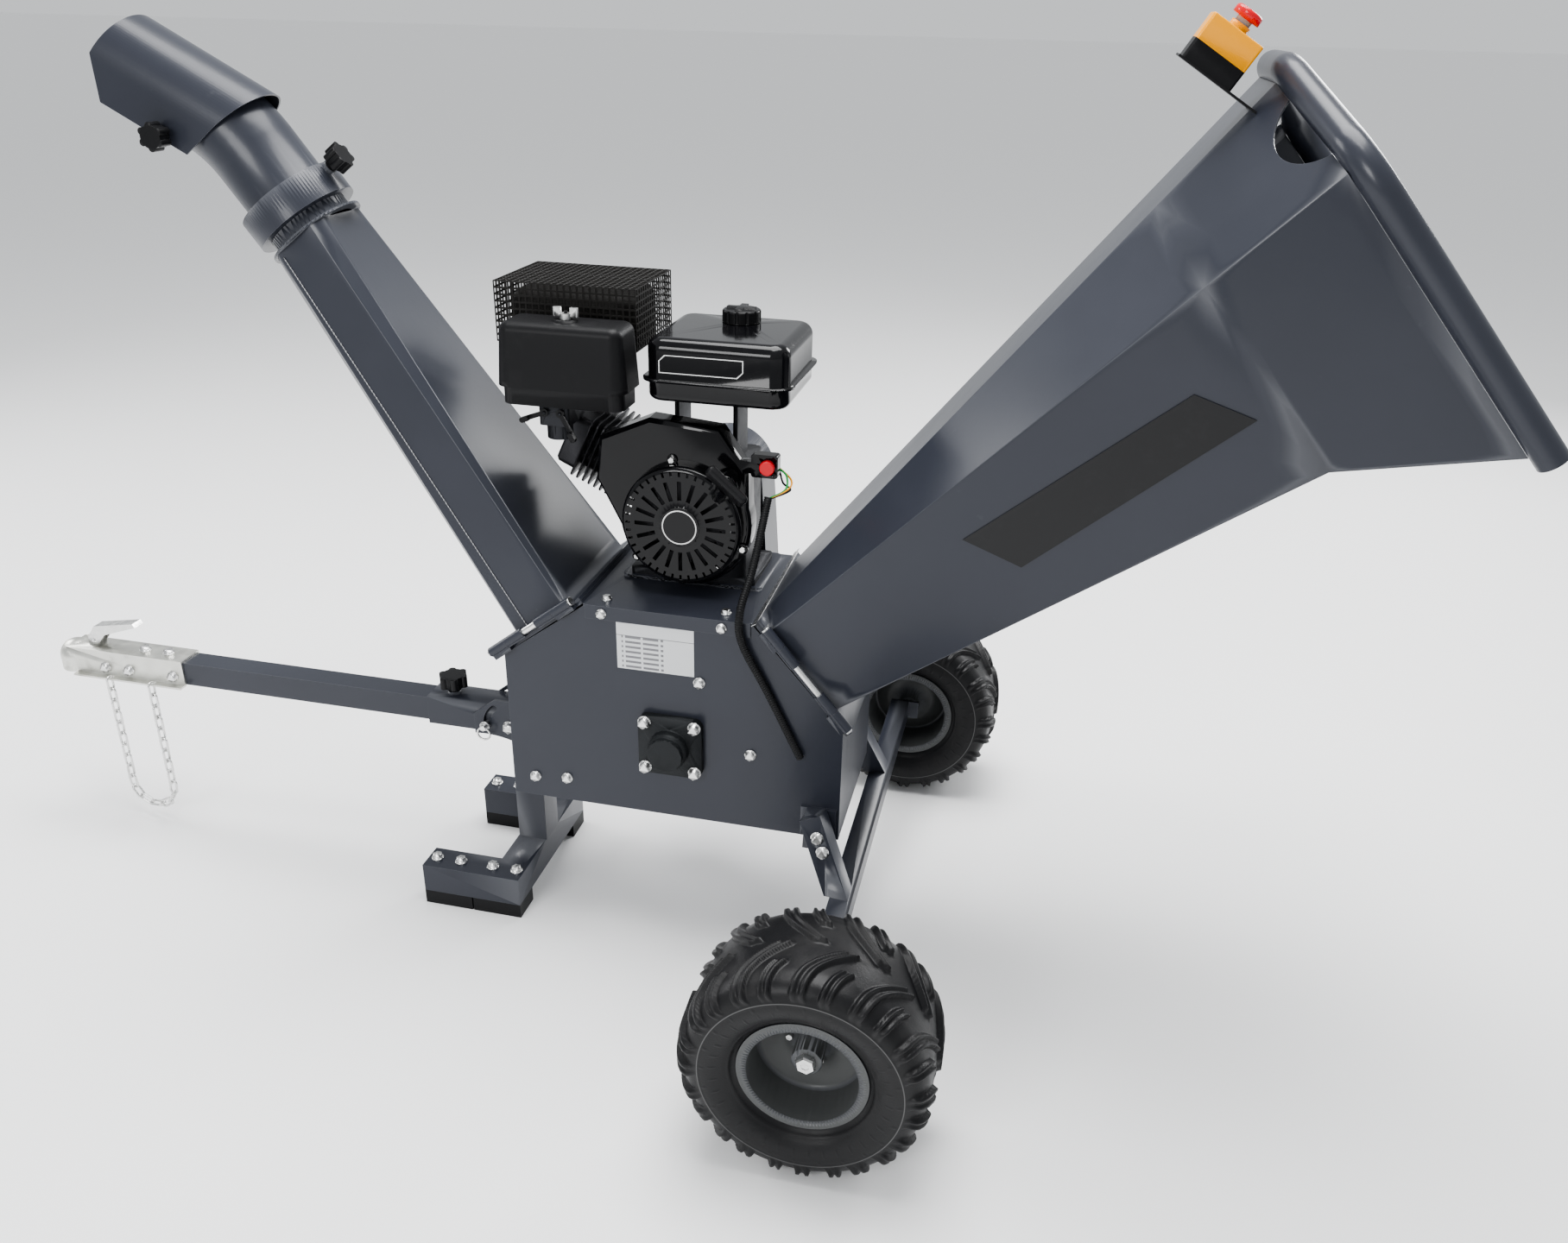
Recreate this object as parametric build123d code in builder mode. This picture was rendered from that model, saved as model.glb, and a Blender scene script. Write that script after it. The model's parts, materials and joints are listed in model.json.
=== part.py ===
"""Towed petrol wood chipper: drum housing, engine, hinged infeed hopper and discharge chute.

Millimetres, Z up, ground at Z = 0.  X runs from the tow coupler (-X) to the hopper mouth (+X),
Y runs from the recoil-starter side (-Y, "near") to the belt side (+Y, "far").
The origin is on the ground, midway along the overall length, on the machine's centre line.
"""
import os
from math import cos, hypot, radians, sin, tan

from build123d import *

os.makedirs("parts", exist_ok=True)

# ---------------------------------------------------------------- driving dimensions
rotor_x = 85.2              # rotor axis, from the middle of the overall length
rotor_z = 442.0             # rotor axis above the ground
running_gap = 0.05          # radial clearance of a shaft or pin in its hole
body_gap = 0.5              # clearance between pieces that move past each other

# drum housing
panel_y = 154.0             # outer face of each side panel, from the centre line
panel_t = 6.0
wrap_t = 5.0
floor_z = 288.0
deck_z = 700.0              # top of the engine deck
deck_t = 5.0
deck_left = 156.0           # deck edges, from the rotor axis
deck_right = 147.0
body_left = 311.0           # body walls, from the rotor axis
body_right = 309.0
shoulder_left_z = 581.0     # where each sloping face meets the wall below it
shoulder_right_z = 511.0
flange_t = 6.0              # body flange, hopper flange and chute flange
throat_width = 250.0        # infeed opening, along Y
infeed_from, infeed_to = 45.0, 200.0     # infeed opening, down the right slope
outfeed_from, outfeed_to = 45.0, 150.0   # outfeed opening, down the left slope
outfeed_width = 260.0
lip_h = 26.0                # folded front lip of the deck
lip_t = 4.0

# hinges of hopper and chute
hinge_r = 9.0
hinge_pin_r = 6.0
hinge_out = 10.0            # hinge axis, outside the side panel
hinge_up = 16.0             # hinge axis, above the sloping face
knuckle_l = 40.0

# rotor and its bearings
shaft_r = 17.5
bearing_flange = 117.0
bearing_bolt_pitch = 92.0
bearing_flange_t = 14.0
bearing_boss_r = 38.0
bearing_h = 34.0
drum_r = 105.0
drum_w = 240.0
blade_out = 12.0

# belt drive on the far side
belt_y = 214.0              # middle of the belt
belt_w = 40.0
belt_t = 11.0
engine_pulley_r = 52.0
rotor_pulley_r = 78.0
pulley_rim = 9.0
pulley_cheek = 4.0
guard_t = 3.0
guard_side = 24.0           # inside clearance round the pulleys
guard_y = 252.0

# hopper, in the frame of the right sloping face: along the slope, across, outward
hopper_t = 3.0
hopper_base_half = 145.0
hopper_mouth_half = 300.0
hopper_top_half = 99.0
hopper_base_low, hopper_base_side, hopper_base_top = 209.0, 30.0, 2.0
hopper_mouth_low, hopper_mouth_side, hopper_mouth_top = 363.0, -86.0, -206.0
hopper_l = 1100.0           # mouth plane, out from the sloping face
hopper_kink = 875.0         # where the floor folds outward
hopper_kink_low = 243.0
rim_r = 21.0
rim_t = 3.0
rim_bend = 85.0
hand_hole_r = 74.0

# emergency stop on the hopper mouth
estop_l, estop_w = 80.0, 70.0
estop_base_h, estop_cover_h = 27.0, 36.0
estop_stem_r, estop_button_r = 11.0, 20.0
estop_travel = 6.0

# discharge chute, in the frame of the left sloping face
chute_t = 3.0
chute_base_half = 145.0
chute_base_near, chute_base_far = 34.0, 159.0
chute_top_half = 75.0
chute_top_near, chute_top_far = 0.0, 120.0
chute_chamfer = 18.0
chute_l = 762.0
chute_plate_t = 4.0
neck_top = 832.0
ring_low, ring_t = 796.0, 8.0
ring_r = 88.0
elbow_r = 73.0
elbow_t = 3.0
elbow_bend = 250.0
elbow_rise = 171.6          # straight from the collar to the bend's corner
collar_wall = 4.0
collar_low, collar_top = 788.0, 838.0
knob_out = 826.0            # clamp knob, along the chute

# deflector hood: pivot, and its pitch above the horizontal
hood_pivot_x, hood_pivot_z = -877.0, 1423.0     # X from the rotor axis
hood_pitch = 27.3
hood_r = 79.0
hood_t = 3.0
hood_axis_up = 49.0         # elbow axis above the pivot
hood_skirt = 8.0            # side walls below the pivot
pivot_r = 5.0

# tow bar
tow_z = 362.0
sleeve_a, sleeve_t = 60.0, 4.0
tube_a, tube_t = 50.0, 4.0
sleeve_front, sleeve_rear = -548.0, -350.0      # X from the rotor axis
tube_front, tube_rear = -1302.0, -440.0
tow_pivot_x, tow_pivot_z = -372.0, 352.0
lock_pin_x = -420.0
lock_pin_r = 6.0
tow_fold = 50.0             # upward fold of the tow bar, in degrees
bracket_gap = 0.5
bracket_t = 6.0

# coupler for a 50 mm ball
ball_x = -1376.0            # X from the rotor axis
socket_r = 25.4
coupler_t = 4.0
coupler_rear = -1101.0
seat_gap = 0.3              # between pieces bolted together
lip_half = 46.0
coupler_bottom = 334.0
coupler_head_r = 34.0
latch_x, latch_z = -1318.0, 405.0

# safety chain
link_wire_r = 2.5
link_in_l, link_in_w = 27.0, 10.0
link_gap = 0.2
chain_x = -1221.5           # middle of the two lip holes
chain_y = -44.5
chain_hole_y, chain_hole_r = -37.4, 5.8
link_lift = 0.5             # the top link's bend stands this far over the lip
leg_links = 9               # links down each side before the bend
bend_links = 6              # links round the bottom

# axle frame, wheels and stand
wheel_x = 349.0             # X from the rotor axis
tyre_r, tyre_w = 200.0, 196.0
rim_lip_r = 102.0
rim_w = 150.0
track = 1120.0
beam_a = 40.0
arm_top = (266.0, 180.0, 352.0)     # X from the rotor axis, Y, Z of the arm's upper end
arm_foot = (331.0, 218.0)           # X from the rotor axis, Y, where it stands on the beam
spindle_r = 12.5
hub_r = 24.0
stand_a, stand_t = 60.0, 4.0
stand_half = 171.0
stand_front, stand_rear = -518.0, -315.0
pad_h = 30.0

# engine, on its own feet
engine_z = 706.0
crank_up = 127.0
crank_r = 12.7
shroud_r = 118.0
shroud_front, shroud_back = -62.0, -20.0
recoil_r = 106.0
recoil_d = 26.0
tank_min = (-68.0, -88.0, 1046.0)
tank_max = (188.0, 150.0, 1150.0)
filter_min = (-302.0, -130.0, 1034.0)
filter_max = (-78.0, -28.0, 1168.0)
muffler_min = (-328.0, 0.0, 1090.0)
muffler_max = (-108.0, 160.0, 1196.0)
guard_margin = 16.0

# fasteners: across flats, head height, washer radius
bolt_af, bolt_h, washer_r, washer_t = 17.0, 7.0, 12.0, 2.0

# ---------------------------------------------------------------- frames of reference
crank_z = engine_z + crank_up
right_run = hypot(body_right - deck_right, deck_z - shoulder_right_z)
left_run = hypot(body_left - deck_left, deck_z - shoulder_left_z)
right_down = ((body_right - deck_right) / right_run, (deck_z - shoulder_right_z) / right_run)
left_down = ((body_left - deck_left) / left_run, (deck_z - shoulder_left_z) / left_run)
# sloping faces: local x runs down the slope, local z points out of the face
right_face = Plane(
    origin=(rotor_x + deck_right, 0, deck_z),
    x_dir=(right_down[0], 0, -right_down[1]),
    z_dir=(right_down[1], 0, right_down[0]),
)
left_face = Plane(
    origin=(rotor_x - deck_left, 0, deck_z),
    x_dir=(-left_down[0], 0, -left_down[1]),
    z_dir=(-left_down[1], 0, left_down[0]),
)


def across(y):
    """Vertical plane at a given Y, seen from the near side: local x is X, local y is Z."""
    return Plane.XZ.offset(-y)


def at(x, y, z):
    """Point given with its X measured from the rotor axis."""
    return (rotor_x + x, y, z)


def block(low, high):
    """Box between two corners whose X is measured from the rotor axis."""
    size = [b - a for a, b in zip(low, high)]
    middle = [(a + b) / 2 for a, b in zip(low, high)]
    return Pos(*at(*middle)) * Box(*size)


def rod(start, end, radius):
    """Round bar between two points whose X is measured from the rotor axis."""
    run = Vector(*at(*end)) - Vector(*at(*start))
    plane = Plane(origin=at(*start), z_dir=run)
    return extrude(plane * Circle(radius), amount=run.length)


def square_tube(start, end, size, wall, side):
    """Square tube, or solid bar with no wall, between two points; side is where its first face looks."""
    run = Vector(*at(*end)) - Vector(*at(*start))
    plane = Plane(origin=at(*start), x_dir=side, z_dir=run)
    bar = extrude(plane * Rectangle(size, size), amount=run.length)
    if wall > 0:
        bar -= extrude(plane * Rectangle(size - 2 * wall, size - 2 * wall), amount=run.length)
    return bar


def hex_bolt(plane, size=bolt_af, height=bolt_h, shank=0.0):
    """Hexagon head on a washer, standing on a plane, with its shank below it."""
    head = extrude(plane * Circle(size * 0.7), amount=washer_t)
    head += extrude(plane.offset(washer_t) * RegularPolygon(size / 2, 6, major_radius=False), amount=height)
    if shank > 0:
        head += extrude(plane * Circle(size * 0.3), amount=-shank)
    return head


def frame_at(x, y, z, normal):
    """Plane at a point whose X is measured from the rotor axis."""
    return Plane(origin=at(x, y, z), z_dir=normal)


def along(plane):
    """Axis that leaves a plane along its normal."""
    return Axis(plane.origin, plane.z_dir)


near, far, up, down = (0, -1, 0), (0, 1, 0), (0, 0, 1), (0, 0, -1)

body_outline = [
    (rotor_x - deck_left, deck_z - deck_t),
    (rotor_x + deck_right, deck_z - deck_t),
    (rotor_x + body_right, shoulder_right_z),
    (rotor_x + body_right, floor_z),
    (rotor_x - body_left, floor_z),
    (rotor_x - body_left, shoulder_left_z),
]

# ---------------------------------------------------------------- side panels
bearing_bore_r = 30.0
panel_bolts = [(-268.0, 330.0), (-205.0, 336.0), (52.0, 573.0), (145.0, 441.0)]
bearing_bolts = [(sx * bearing_bolt_pitch / 2, sz * bearing_bolt_pitch / 2) for sx in (-1, 1) for sz in (-1, 1)]
lip_bolts = (-122.0, 93.0)
lip_bolt_z = deck_z - lip_h * 0.55
arm_bolt_rows = (0.22, 0.40)        # share of the arm's height, from its top
shank_r = bolt_af * 0.3
hole_play = 0.4


def arm_point(share):
    """Centre of a side arm at a share of its height below the top."""
    foot_z = tyre_r + beam_a / 2
    return tuple(a + share * (b - a) for a, b in zip(arm_top, (*arm_foot, foot_z)))


arm_bolts = [arm_point(row) for row in arm_bolt_rows]


def panel_drilling():
    """Centres of the bolt holes in a side panel, in X and Z."""
    points = [(rotor_x + x, z) for x, z in panel_bolts]
    points += [(rotor_x + x, rotor_z + z) for x, z in bearing_bolts]
    points += [(rotor_x + x, lip_bolt_z) for x in lip_bolts]
    points += [(rotor_x + p[0], p[2]) for p in arm_bolts]
    return points


with BuildPart() as near_panel:
    with BuildSketch(across(-panel_y + panel_t)):
        Polygon(*body_outline, align=None)
        with Locations((rotor_x, rotor_z)):
            Circle(bearing_bore_r, mode=Mode.SUBTRACT)
        with Locations(*panel_drilling()):
            Circle(shank_r + hole_play, mode=Mode.SUBTRACT)
    extrude(amount=panel_t)
near_panel.part.label = "housing_near_panel"
export_step(near_panel.part, "parts/housing_near_panel.step")

with BuildPart() as far_panel:
    with BuildSketch(across(panel_y)):
        Polygon(*body_outline, align=None)
        with Locations((rotor_x, rotor_z)):
            Circle(bearing_bore_r, mode=Mode.SUBTRACT)
        with Locations(*panel_drilling()):
            Circle(shank_r + hole_play, mode=Mode.SUBTRACT)
    extrude(amount=panel_t)
far_panel.part.label = "housing_far_panel"
export_step(far_panel.part, "parts/housing_far_panel.step")

# ---------------------------------------------------------------- wrap, flanges and fixed knuckles
wrap_half = panel_y - panel_t
right_slots = [(20.0, "fixed"), (60.0 + body_gap, "moving"), (165.0, "moving"), (205.0 + body_gap, "fixed")]
left_slots = [(14.0, "fixed"), (54.0 + body_gap, "moving"), (128.0, "moving"), (168.0 + body_gap, "fixed")]
right_length = right_run + 8.0
left_length = left_run + 14.0


def knuckle(face, start, near_side, leaf_from, leaf_to):
    """Hinge knuckle with its leaf, at a distance down a sloping face."""
    axis_y = near_side * (panel_y + hinge_out)
    end_plane = Plane(
        origin=face.from_local_coords((start, axis_y, hinge_up)),
        x_dir=face.z_dir,
        z_dir=face.x_dir,
    )
    barrel = extrude(end_plane * Circle(hinge_r), amount=knuckle_l)
    leaf_y = near_side * (panel_y + hinge_out / 2)
    leaf = Location(face.offset((leaf_from + leaf_to) / 2)) * Pos(start + knuckle_l / 2, leaf_y, 0)
    barrel += leaf * Box(knuckle_l, hinge_out, leaf_to - leaf_from)
    web_from, web_to = min(leaf_from, hinge_up), max(leaf_to, hinge_up)
    web = Location(face.offset((web_from + web_to) / 2)) * Pos(start + knuckle_l / 2, axis_y, 0)
    barrel += web * Box(knuckle_l, hinge_pin_r + 2, web_to - web_from)
    bore = extrude(end_plane.offset(-1) * Circle(hinge_pin_r + running_gap), amount=knuckle_l + 2)
    return barrel - bore


right_knuckles = [knuckle(right_face, start, -1, 0, flange_t) for start, kind in right_slots if kind == "fixed"]
left_knuckles = [knuckle(left_face, start, 1, 0, flange_t) for start, kind in left_slots if kind == "fixed"]
with BuildPart() as housing_shell:
    with BuildSketch(across(wrap_half)):
        Polygon(*body_outline, align=None)
        offset(amount=-wrap_t, kind=Kind.INTERSECTION, mode=Mode.SUBTRACT)
    extrude(amount=2 * wrap_half)
    with BuildSketch(right_face):
        with Locations((right_length / 2, 0)):
            Rectangle(right_length, 2 * panel_y)
    extrude(amount=flange_t)
    with BuildSketch(left_face):
        with Locations((left_length / 2, 0)):
            Rectangle(left_length, 2 * panel_y)
    extrude(amount=flange_t)
    with BuildSketch(right_face.offset(flange_t)):
        with Locations(((infeed_from + infeed_to) / 2, 0)):
            Rectangle(infeed_to - infeed_from, throat_width)
    extrude(amount=-3 * flange_t, mode=Mode.SUBTRACT)
    with BuildSketch(left_face.offset(flange_t)):
        with Locations(((outfeed_from + outfeed_to) / 2, 0)):
            Rectangle(outfeed_to - outfeed_from, outfeed_width)
    extrude(amount=-3 * flange_t, mode=Mode.SUBTRACT)
    add(right_knuckles + left_knuckles)
housing_shell.part.label = "housing_shell"
export_step(housing_shell.part, "parts/housing_shell.step")

with BuildPart() as hinge_pins:
    for face, side, slots in ((right_face, -1, right_slots), (left_face, 1, left_slots)):
        first, last = slots[0][0], slots[-1][0] + knuckle_l
        pin_plane = Plane(
            origin=face.from_local_coords((first, side * (panel_y + hinge_out), hinge_up)),
            x_dir=face.z_dir,
            z_dir=face.x_dir,
        )
        with BuildSketch(pin_plane):
            Circle(hinge_pin_r)
        extrude(amount=last - first + 4)
        with BuildSketch(pin_plane):
            Circle(hinge_r - 1)
        extrude(amount=-4)
hinge_pins.part.label = "hinge_pins"
export_step(hinge_pins.part, "parts/hinge_pins.step")

# ---------------------------------------------------------------- engine deck
with BuildPart() as engine_deck:
    with BuildSketch(Plane.XY.offset(deck_z - deck_t)):
        with Locations((rotor_x + (deck_right - deck_left) / 2, 0)):
            Rectangle(deck_right + deck_left, 2 * panel_y)
    extrude(amount=deck_t)
    with BuildSketch(across(-panel_y)):
        with Locations((rotor_x + (deck_right - deck_left) / 2, deck_z - lip_h / 2)):
            Rectangle(deck_right + deck_left - 8, lip_h)
        with Locations(*[(rotor_x + x, lip_bolt_z) for x in lip_bolts]):
            Circle(shank_r + hole_play, mode=Mode.SUBTRACT)
    extrude(amount=lip_t)
    with BuildSketch(Plane.XY.offset(deck_z)):
        with Locations((rotor_x, 58)):
            RectangleRounded(258, 170, 10)
    extrude(amount=engine_z - deck_z)
engine_deck.part.label = "engine_deck"
export_step(engine_deck.part, "parts/engine_deck.step")

# ---------------------------------------------------------------- stand
stand_z = pad_h + stand_a / 2
leg_x = stand_rear - stand_a / 2 + 2
leg_top = tow_pivot_z - hypot(sleeve_rear - tow_pivot_x, tow_z - sleeve_a / 2 - tow_pivot_z) - 4
stand_bolt_xs = (-500.0, -449.0, -381.0, -331.0)
arm_y = stand_half - stand_a / 2
with BuildPart() as front_stand:
    with BuildSketch(Plane.XY.offset(pad_h)):
        for side in (-1, 1):
            with Locations((rotor_x + (stand_front + stand_rear) / 2, side * arm_y)):
                Rectangle(stand_rear - stand_front, stand_a)
        with Locations((rotor_x + stand_rear - stand_a / 2, 0)):
            Rectangle(stand_a, 2 * stand_half)
    extrude(amount=stand_a)
    with BuildSketch(Plane.XY.offset(pad_h + stand_a)):
        with Locations((rotor_x + leg_x, 0)):
            Rectangle(stand_a, stand_a)
    extrude(amount=leg_top - pad_h - stand_a)
    with BuildSketch(Plane.XY.offset(pad_h + stand_t)):
        for side in (-1, 1):
            with Locations((rotor_x + (stand_front + stand_rear) / 2, side * arm_y)):
                Rectangle(stand_rear - stand_front - 2 * stand_t, stand_a - 2 * stand_t)
        with Locations((rotor_x + stand_rear - stand_a / 2, 0)):
            Rectangle(stand_a - 2 * stand_t, 2 * stand_half - 2 * stand_t)
    extrude(amount=stand_a - 2 * stand_t, mode=Mode.SUBTRACT)
    with BuildSketch(Plane.XY.offset(pad_h + stand_a)):
        with Locations((rotor_x + leg_x, 0)):
            Rectangle(stand_a - 2 * stand_t, stand_a - 2 * stand_t)
    extrude(amount=leg_top - pad_h - stand_a - stand_t, mode=Mode.SUBTRACT)
    with BuildSketch(Plane.XY.offset(pad_h + stand_a)):
        with Locations(*[(rotor_x + x, side * arm_y) for x in stand_bolt_xs for side in (-1, 1)]):
            Circle(shank_r + hole_play)
    extrude(amount=-stand_t, mode=Mode.SUBTRACT)
front_stand.part.label = "front_stand"
export_step(front_stand.part, "parts/front_stand.step")

pad_l = (stand_rear - stand_front - 2.5) / 2
with BuildPart() as stand_pads:
    for side in (-1, 1):
        for k in (0, 1):
            with BuildSketch():
                with Locations((rotor_x + stand_front + pad_l / 2 + k * (pad_l + 2.5), side * arm_y)):
                    Rectangle(pad_l, stand_a)
            extrude(amount=pad_h)
stand_pads.part.label = "stand_pads"
export_step(stand_pads.part, "parts/stand_pads.step")

# ---------------------------------------------------------------- hitch bracket
bracket_y = sleeve_a / 2 + bracket_gap
slot_r = tow_pivot_x - lock_pin_x
bracket_low, bracket_high = 292.0, 408.0
fold_arc = CenterArc((0, 0), slot_r, 180 - tow_fold - 1, tow_fold + 1)
fold_slot = Pos(rotor_x + tow_pivot_x, tow_pivot_z) * SlotArc(fold_arc, 2 * lock_pin_r + 1)
with BuildPart() as hitch_bracket:
    for side in (-1, 1):
        with BuildSketch(across(bracket_y + bracket_t if side > 0 else -bracket_y)):
            with BuildLine():
                Polyline(
                    (rotor_x - body_left, bracket_low),
                    (rotor_x - body_left, bracket_high),
                    (rotor_x - 400, bracket_high),
                    (rotor_x - 446, 372),
                    (rotor_x - 446, 328),
                )
                RadiusArc((rotor_x - 446, 328), (rotor_x - body_left, bracket_low), 190)
            make_face()
            with Locations((rotor_x + tow_pivot_x, tow_pivot_z)):
                Circle(lock_pin_r + running_gap, mode=Mode.SUBTRACT)
            add(fold_slot, mode=Mode.SUBTRACT)
        extrude(amount=bracket_t)
    with BuildSketch(Plane.YZ.offset(rotor_x - body_left)):
        with Locations((0, (bracket_low + bracket_high) / 2)):
            Rectangle(2 * bracket_y + 50, bracket_high - bracket_low)
        with Locations((0, (bracket_low + bracket_high) / 2)):
            Rectangle(2 * bracket_y, bracket_high - bracket_low, mode=Mode.SUBTRACT)
    extrude(amount=-bracket_t)
hitch_bracket.part.label = "hitch_bracket"
export_step(hitch_bracket.part, "parts/hitch_bracket.step")

# ---------------------------------------------------------------- axle frame
beam_half = track / 2 - rim_w / 2 + 22
arm_plate_t = arm_top[1] - beam_a / 2 - panel_y
beam_x = wheel_x - 18
beam_top = tyre_r + beam_a / 2
spot_out = beam_a / 2 - 3       # spot faces under the arm bolts, from the arm's centre
axle_pieces = [square_tube((beam_x, -beam_half, tyre_r), (beam_x, beam_half, tyre_r), beam_a, 3.0, up)]
arm_bores = []
for side in (-1, 1):
    axle_pieces.append(block((beam_x - beam_a / 2, side * beam_half - 3, tyre_r - beam_a / 2),
                             (wheel_x + hub_r, side * beam_half + 3, beam_top)))
    top = (arm_top[0], side * arm_top[1], arm_top[2])
    foot = (arm_foot[0], side * arm_foot[1], tyre_r)
    below_beam_top = block((wheel_x - 200, -300, tyre_r - 80), (wheel_x + 200, 300, beam_top))
    axle_pieces.append(square_tube(top, foot, beam_a, 0, (0, 1, 0)) - below_beam_top)
    plate_y = side * (panel_y + arm_plate_t / 2)
    axle_pieces.append(block((arm_top[0] - 26, plate_y - arm_plate_t / 2, floor_z + 4),
                             (arm_top[0] + 38, plate_y + arm_plate_t / 2, arm_top[2])))
    lower = arm_point((arm_top[2] - floor_z - 4) / (arm_top[2] - tyre_r - beam_a / 2))
    wedge = Polygon(
        (side * panel_y, floor_z + 4), (side * panel_y, arm_top[2]),
        (side * arm_top[1], arm_top[2]), (side * lower[1], floor_z + 4), align=None,
    )
    axle_pieces.append(extrude(Plane.YZ.offset(rotor_x + arm_top[0] - 14) * wedge, amount=28))
    axle_pieces.append(rod((wheel_x, side * (beam_half - 3), tyre_r),
                           (wheel_x, side * (track / 2 + 32), tyre_r), spindle_r))
    for p in arm_bolts:
        arm_bores.append(rod((p[0], side * (panel_y - 30), p[2]), (p[0], side * (panel_y + 80), p[2]),
                             shank_r + hole_play))
        arm_bores.append(rod((p[0], side * (p[1] + spot_out), p[2]), (p[0], side * (panel_y + 80), p[2]),
                             washer_r + hole_play))
with BuildPart() as axle_frame:
    add(axle_pieces)
    add(arm_bores, mode=Mode.SUBTRACT)
axle_frame.part.label = "axle_frame"
export_step(axle_frame.part, "parts/axle_frame.step")

# ---------------------------------------------------------------- rotor bearings
with BuildPart() as rotor_bearings:
    for side in (-1, 1):
        face = frame_at(0, side * panel_y, rotor_z, (0, side, 0))
        with BuildSketch(face):
            RectangleRounded(bearing_flange, bearing_flange, 16)
            with GridLocations(bearing_bolt_pitch, bearing_bolt_pitch, 2, 2):
                Circle(shank_r + hole_play, mode=Mode.SUBTRACT)
        extrude(amount=bearing_flange_t)
        with BuildSketch(face):
            Circle(bearing_boss_r)
        extrude(amount=bearing_h, taper=4)
        if side < 0:
            with BuildSketch(face.offset(bearing_h - 4)):
                Circle(bearing_boss_r - 6)
            extrude(amount=16, taper=3)
        bore_depth = bearing_h + 4 if side < 0 else bearing_h + 1
        with BuildSketch(face):
            Circle(shaft_r + running_gap)
        extrude(amount=bore_depth, mode=Mode.SUBTRACT)
rotor_bearings.part.label = "rotor_bearings"
export_step(rotor_bearings.part, "parts/rotor_bearings.step")

# ---------------------------------------------------------------- fasteners of the body
bolts = []
for side in (-1, 1):
    out = (0, side, 0)
    for x, z in panel_bolts:
        bolts.append(hex_bolt(frame_at(x, side * panel_y, z, out), 15, 6, panel_t))
    for x, z in bearing_bolts:
        seat = frame_at(x, side * (panel_y + bearing_flange_t), rotor_z + z, out)
        bolts.append(hex_bolt(seat, bolt_af, 9, bearing_flange_t + panel_t))
    for p in arm_bolts:
        seat = frame_at(p[0], side * (p[1] + spot_out), p[2], out)
        bolts.append(hex_bolt(seat, bolt_af, bolt_h, p[1] + spot_out - panel_y + panel_t))
    for x in stand_bolt_xs:
        bolts.append(hex_bolt(frame_at(x, side * arm_y, pad_h + stand_a, up), bolt_af, bolt_h, stand_t))
for x in lip_bolts:
    bolts.append(hex_bolt(frame_at(x, -panel_y - lip_t, lip_bolt_z, near), 13, 5, lip_t + panel_t))
    bolts.append(hex_bolt(frame_at(x, -128, deck_z, up), 13, 5))
pivot_out = bracket_y + bracket_t
for side in (-1, 1):
    bolts.append(hex_bolt(frame_at(tow_pivot_x, side * pivot_out, tow_pivot_z, (0, side, 0)), 19, 8))
bolts.append(rod((tow_pivot_x, -pivot_out, tow_pivot_z), (tow_pivot_x, pivot_out, tow_pivot_z), lock_pin_r))
with BuildPart() as housing_bolts:
    add(bolts)
housing_bolts.part.label = "housing_bolts"
export_step(housing_bolts.part, "parts/housing_bolts.step")

# ---------------------------------------------------------------- anvil, rotor
anvil_gap = 3.0
anvil_x = drum_r + blade_out + anvil_gap
with BuildPart() as anvil_bar:
    with BuildSketch(across(wrap_half)):
        with BuildLine():
            Polyline(
                (rotor_x + anvil_x, rotor_z + 10),
                (rotor_x + body_right - wrap_t, rotor_z + 10),
                (rotor_x + body_right - wrap_t, rotor_z - 6),
                (rotor_x + anvil_x + 8, rotor_z - 6),
                close=True,
            )
        make_face()
    extrude(amount=2 * wrap_half)
anvil_bar.part.label = "anvil_bar"
export_step(anvil_bar.part, "parts/anvil_bar.step")

shaft_near = panel_y + bearing_h
shaft_far = belt_y + belt_w / 2 + pulley_cheek + 2
with BuildPart() as rotor_shaft:
    with BuildSketch(Plane(origin=at(0, -shaft_near, rotor_z), z_dir=far)):
        Circle(shaft_r)
    extrude(amount=shaft_near + shaft_far)
    chamfer(rotor_shaft.edges().filter_by(GeomType.CIRCLE), 1.5)
rotor_shaft.part.label = "rotor_shaft"
export_step(rotor_shaft.part, "parts/rotor_shaft.step")

blade_seats = 2
with BuildPart() as rotor_drum:
    with BuildSketch(Plane(origin=at(0, -drum_w / 2, rotor_z), x_dir=(1, 0, 0), z_dir=far)):
        Circle(drum_r)
        Circle(shaft_r, mode=Mode.SUBTRACT)
        with PolarLocations(drum_r - 8, blade_seats, 20):
            Rectangle(30, 24, mode=Mode.SUBTRACT)
    extrude(amount=drum_w)
rotor_drum.part.label = "rotor_drum"
export_step(rotor_drum.part, "parts/rotor_drum.step")

with BuildPart() as rotor_blades:
    with BuildSketch(Plane(origin=at(0, -drum_w / 2, rotor_z), x_dir=(1, 0, 0), z_dir=far)):
        with PolarLocations(drum_r - 8, blade_seats, 20):
            Polygon((-15, 12), (-15, 2), (8, 2), (8 + blade_out, 12), align=None)
    extrude(amount=drum_w)
rotor_blades.part.label = "rotor_blades"
export_step(rotor_blades.part, "parts/rotor_blades.step")


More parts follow.
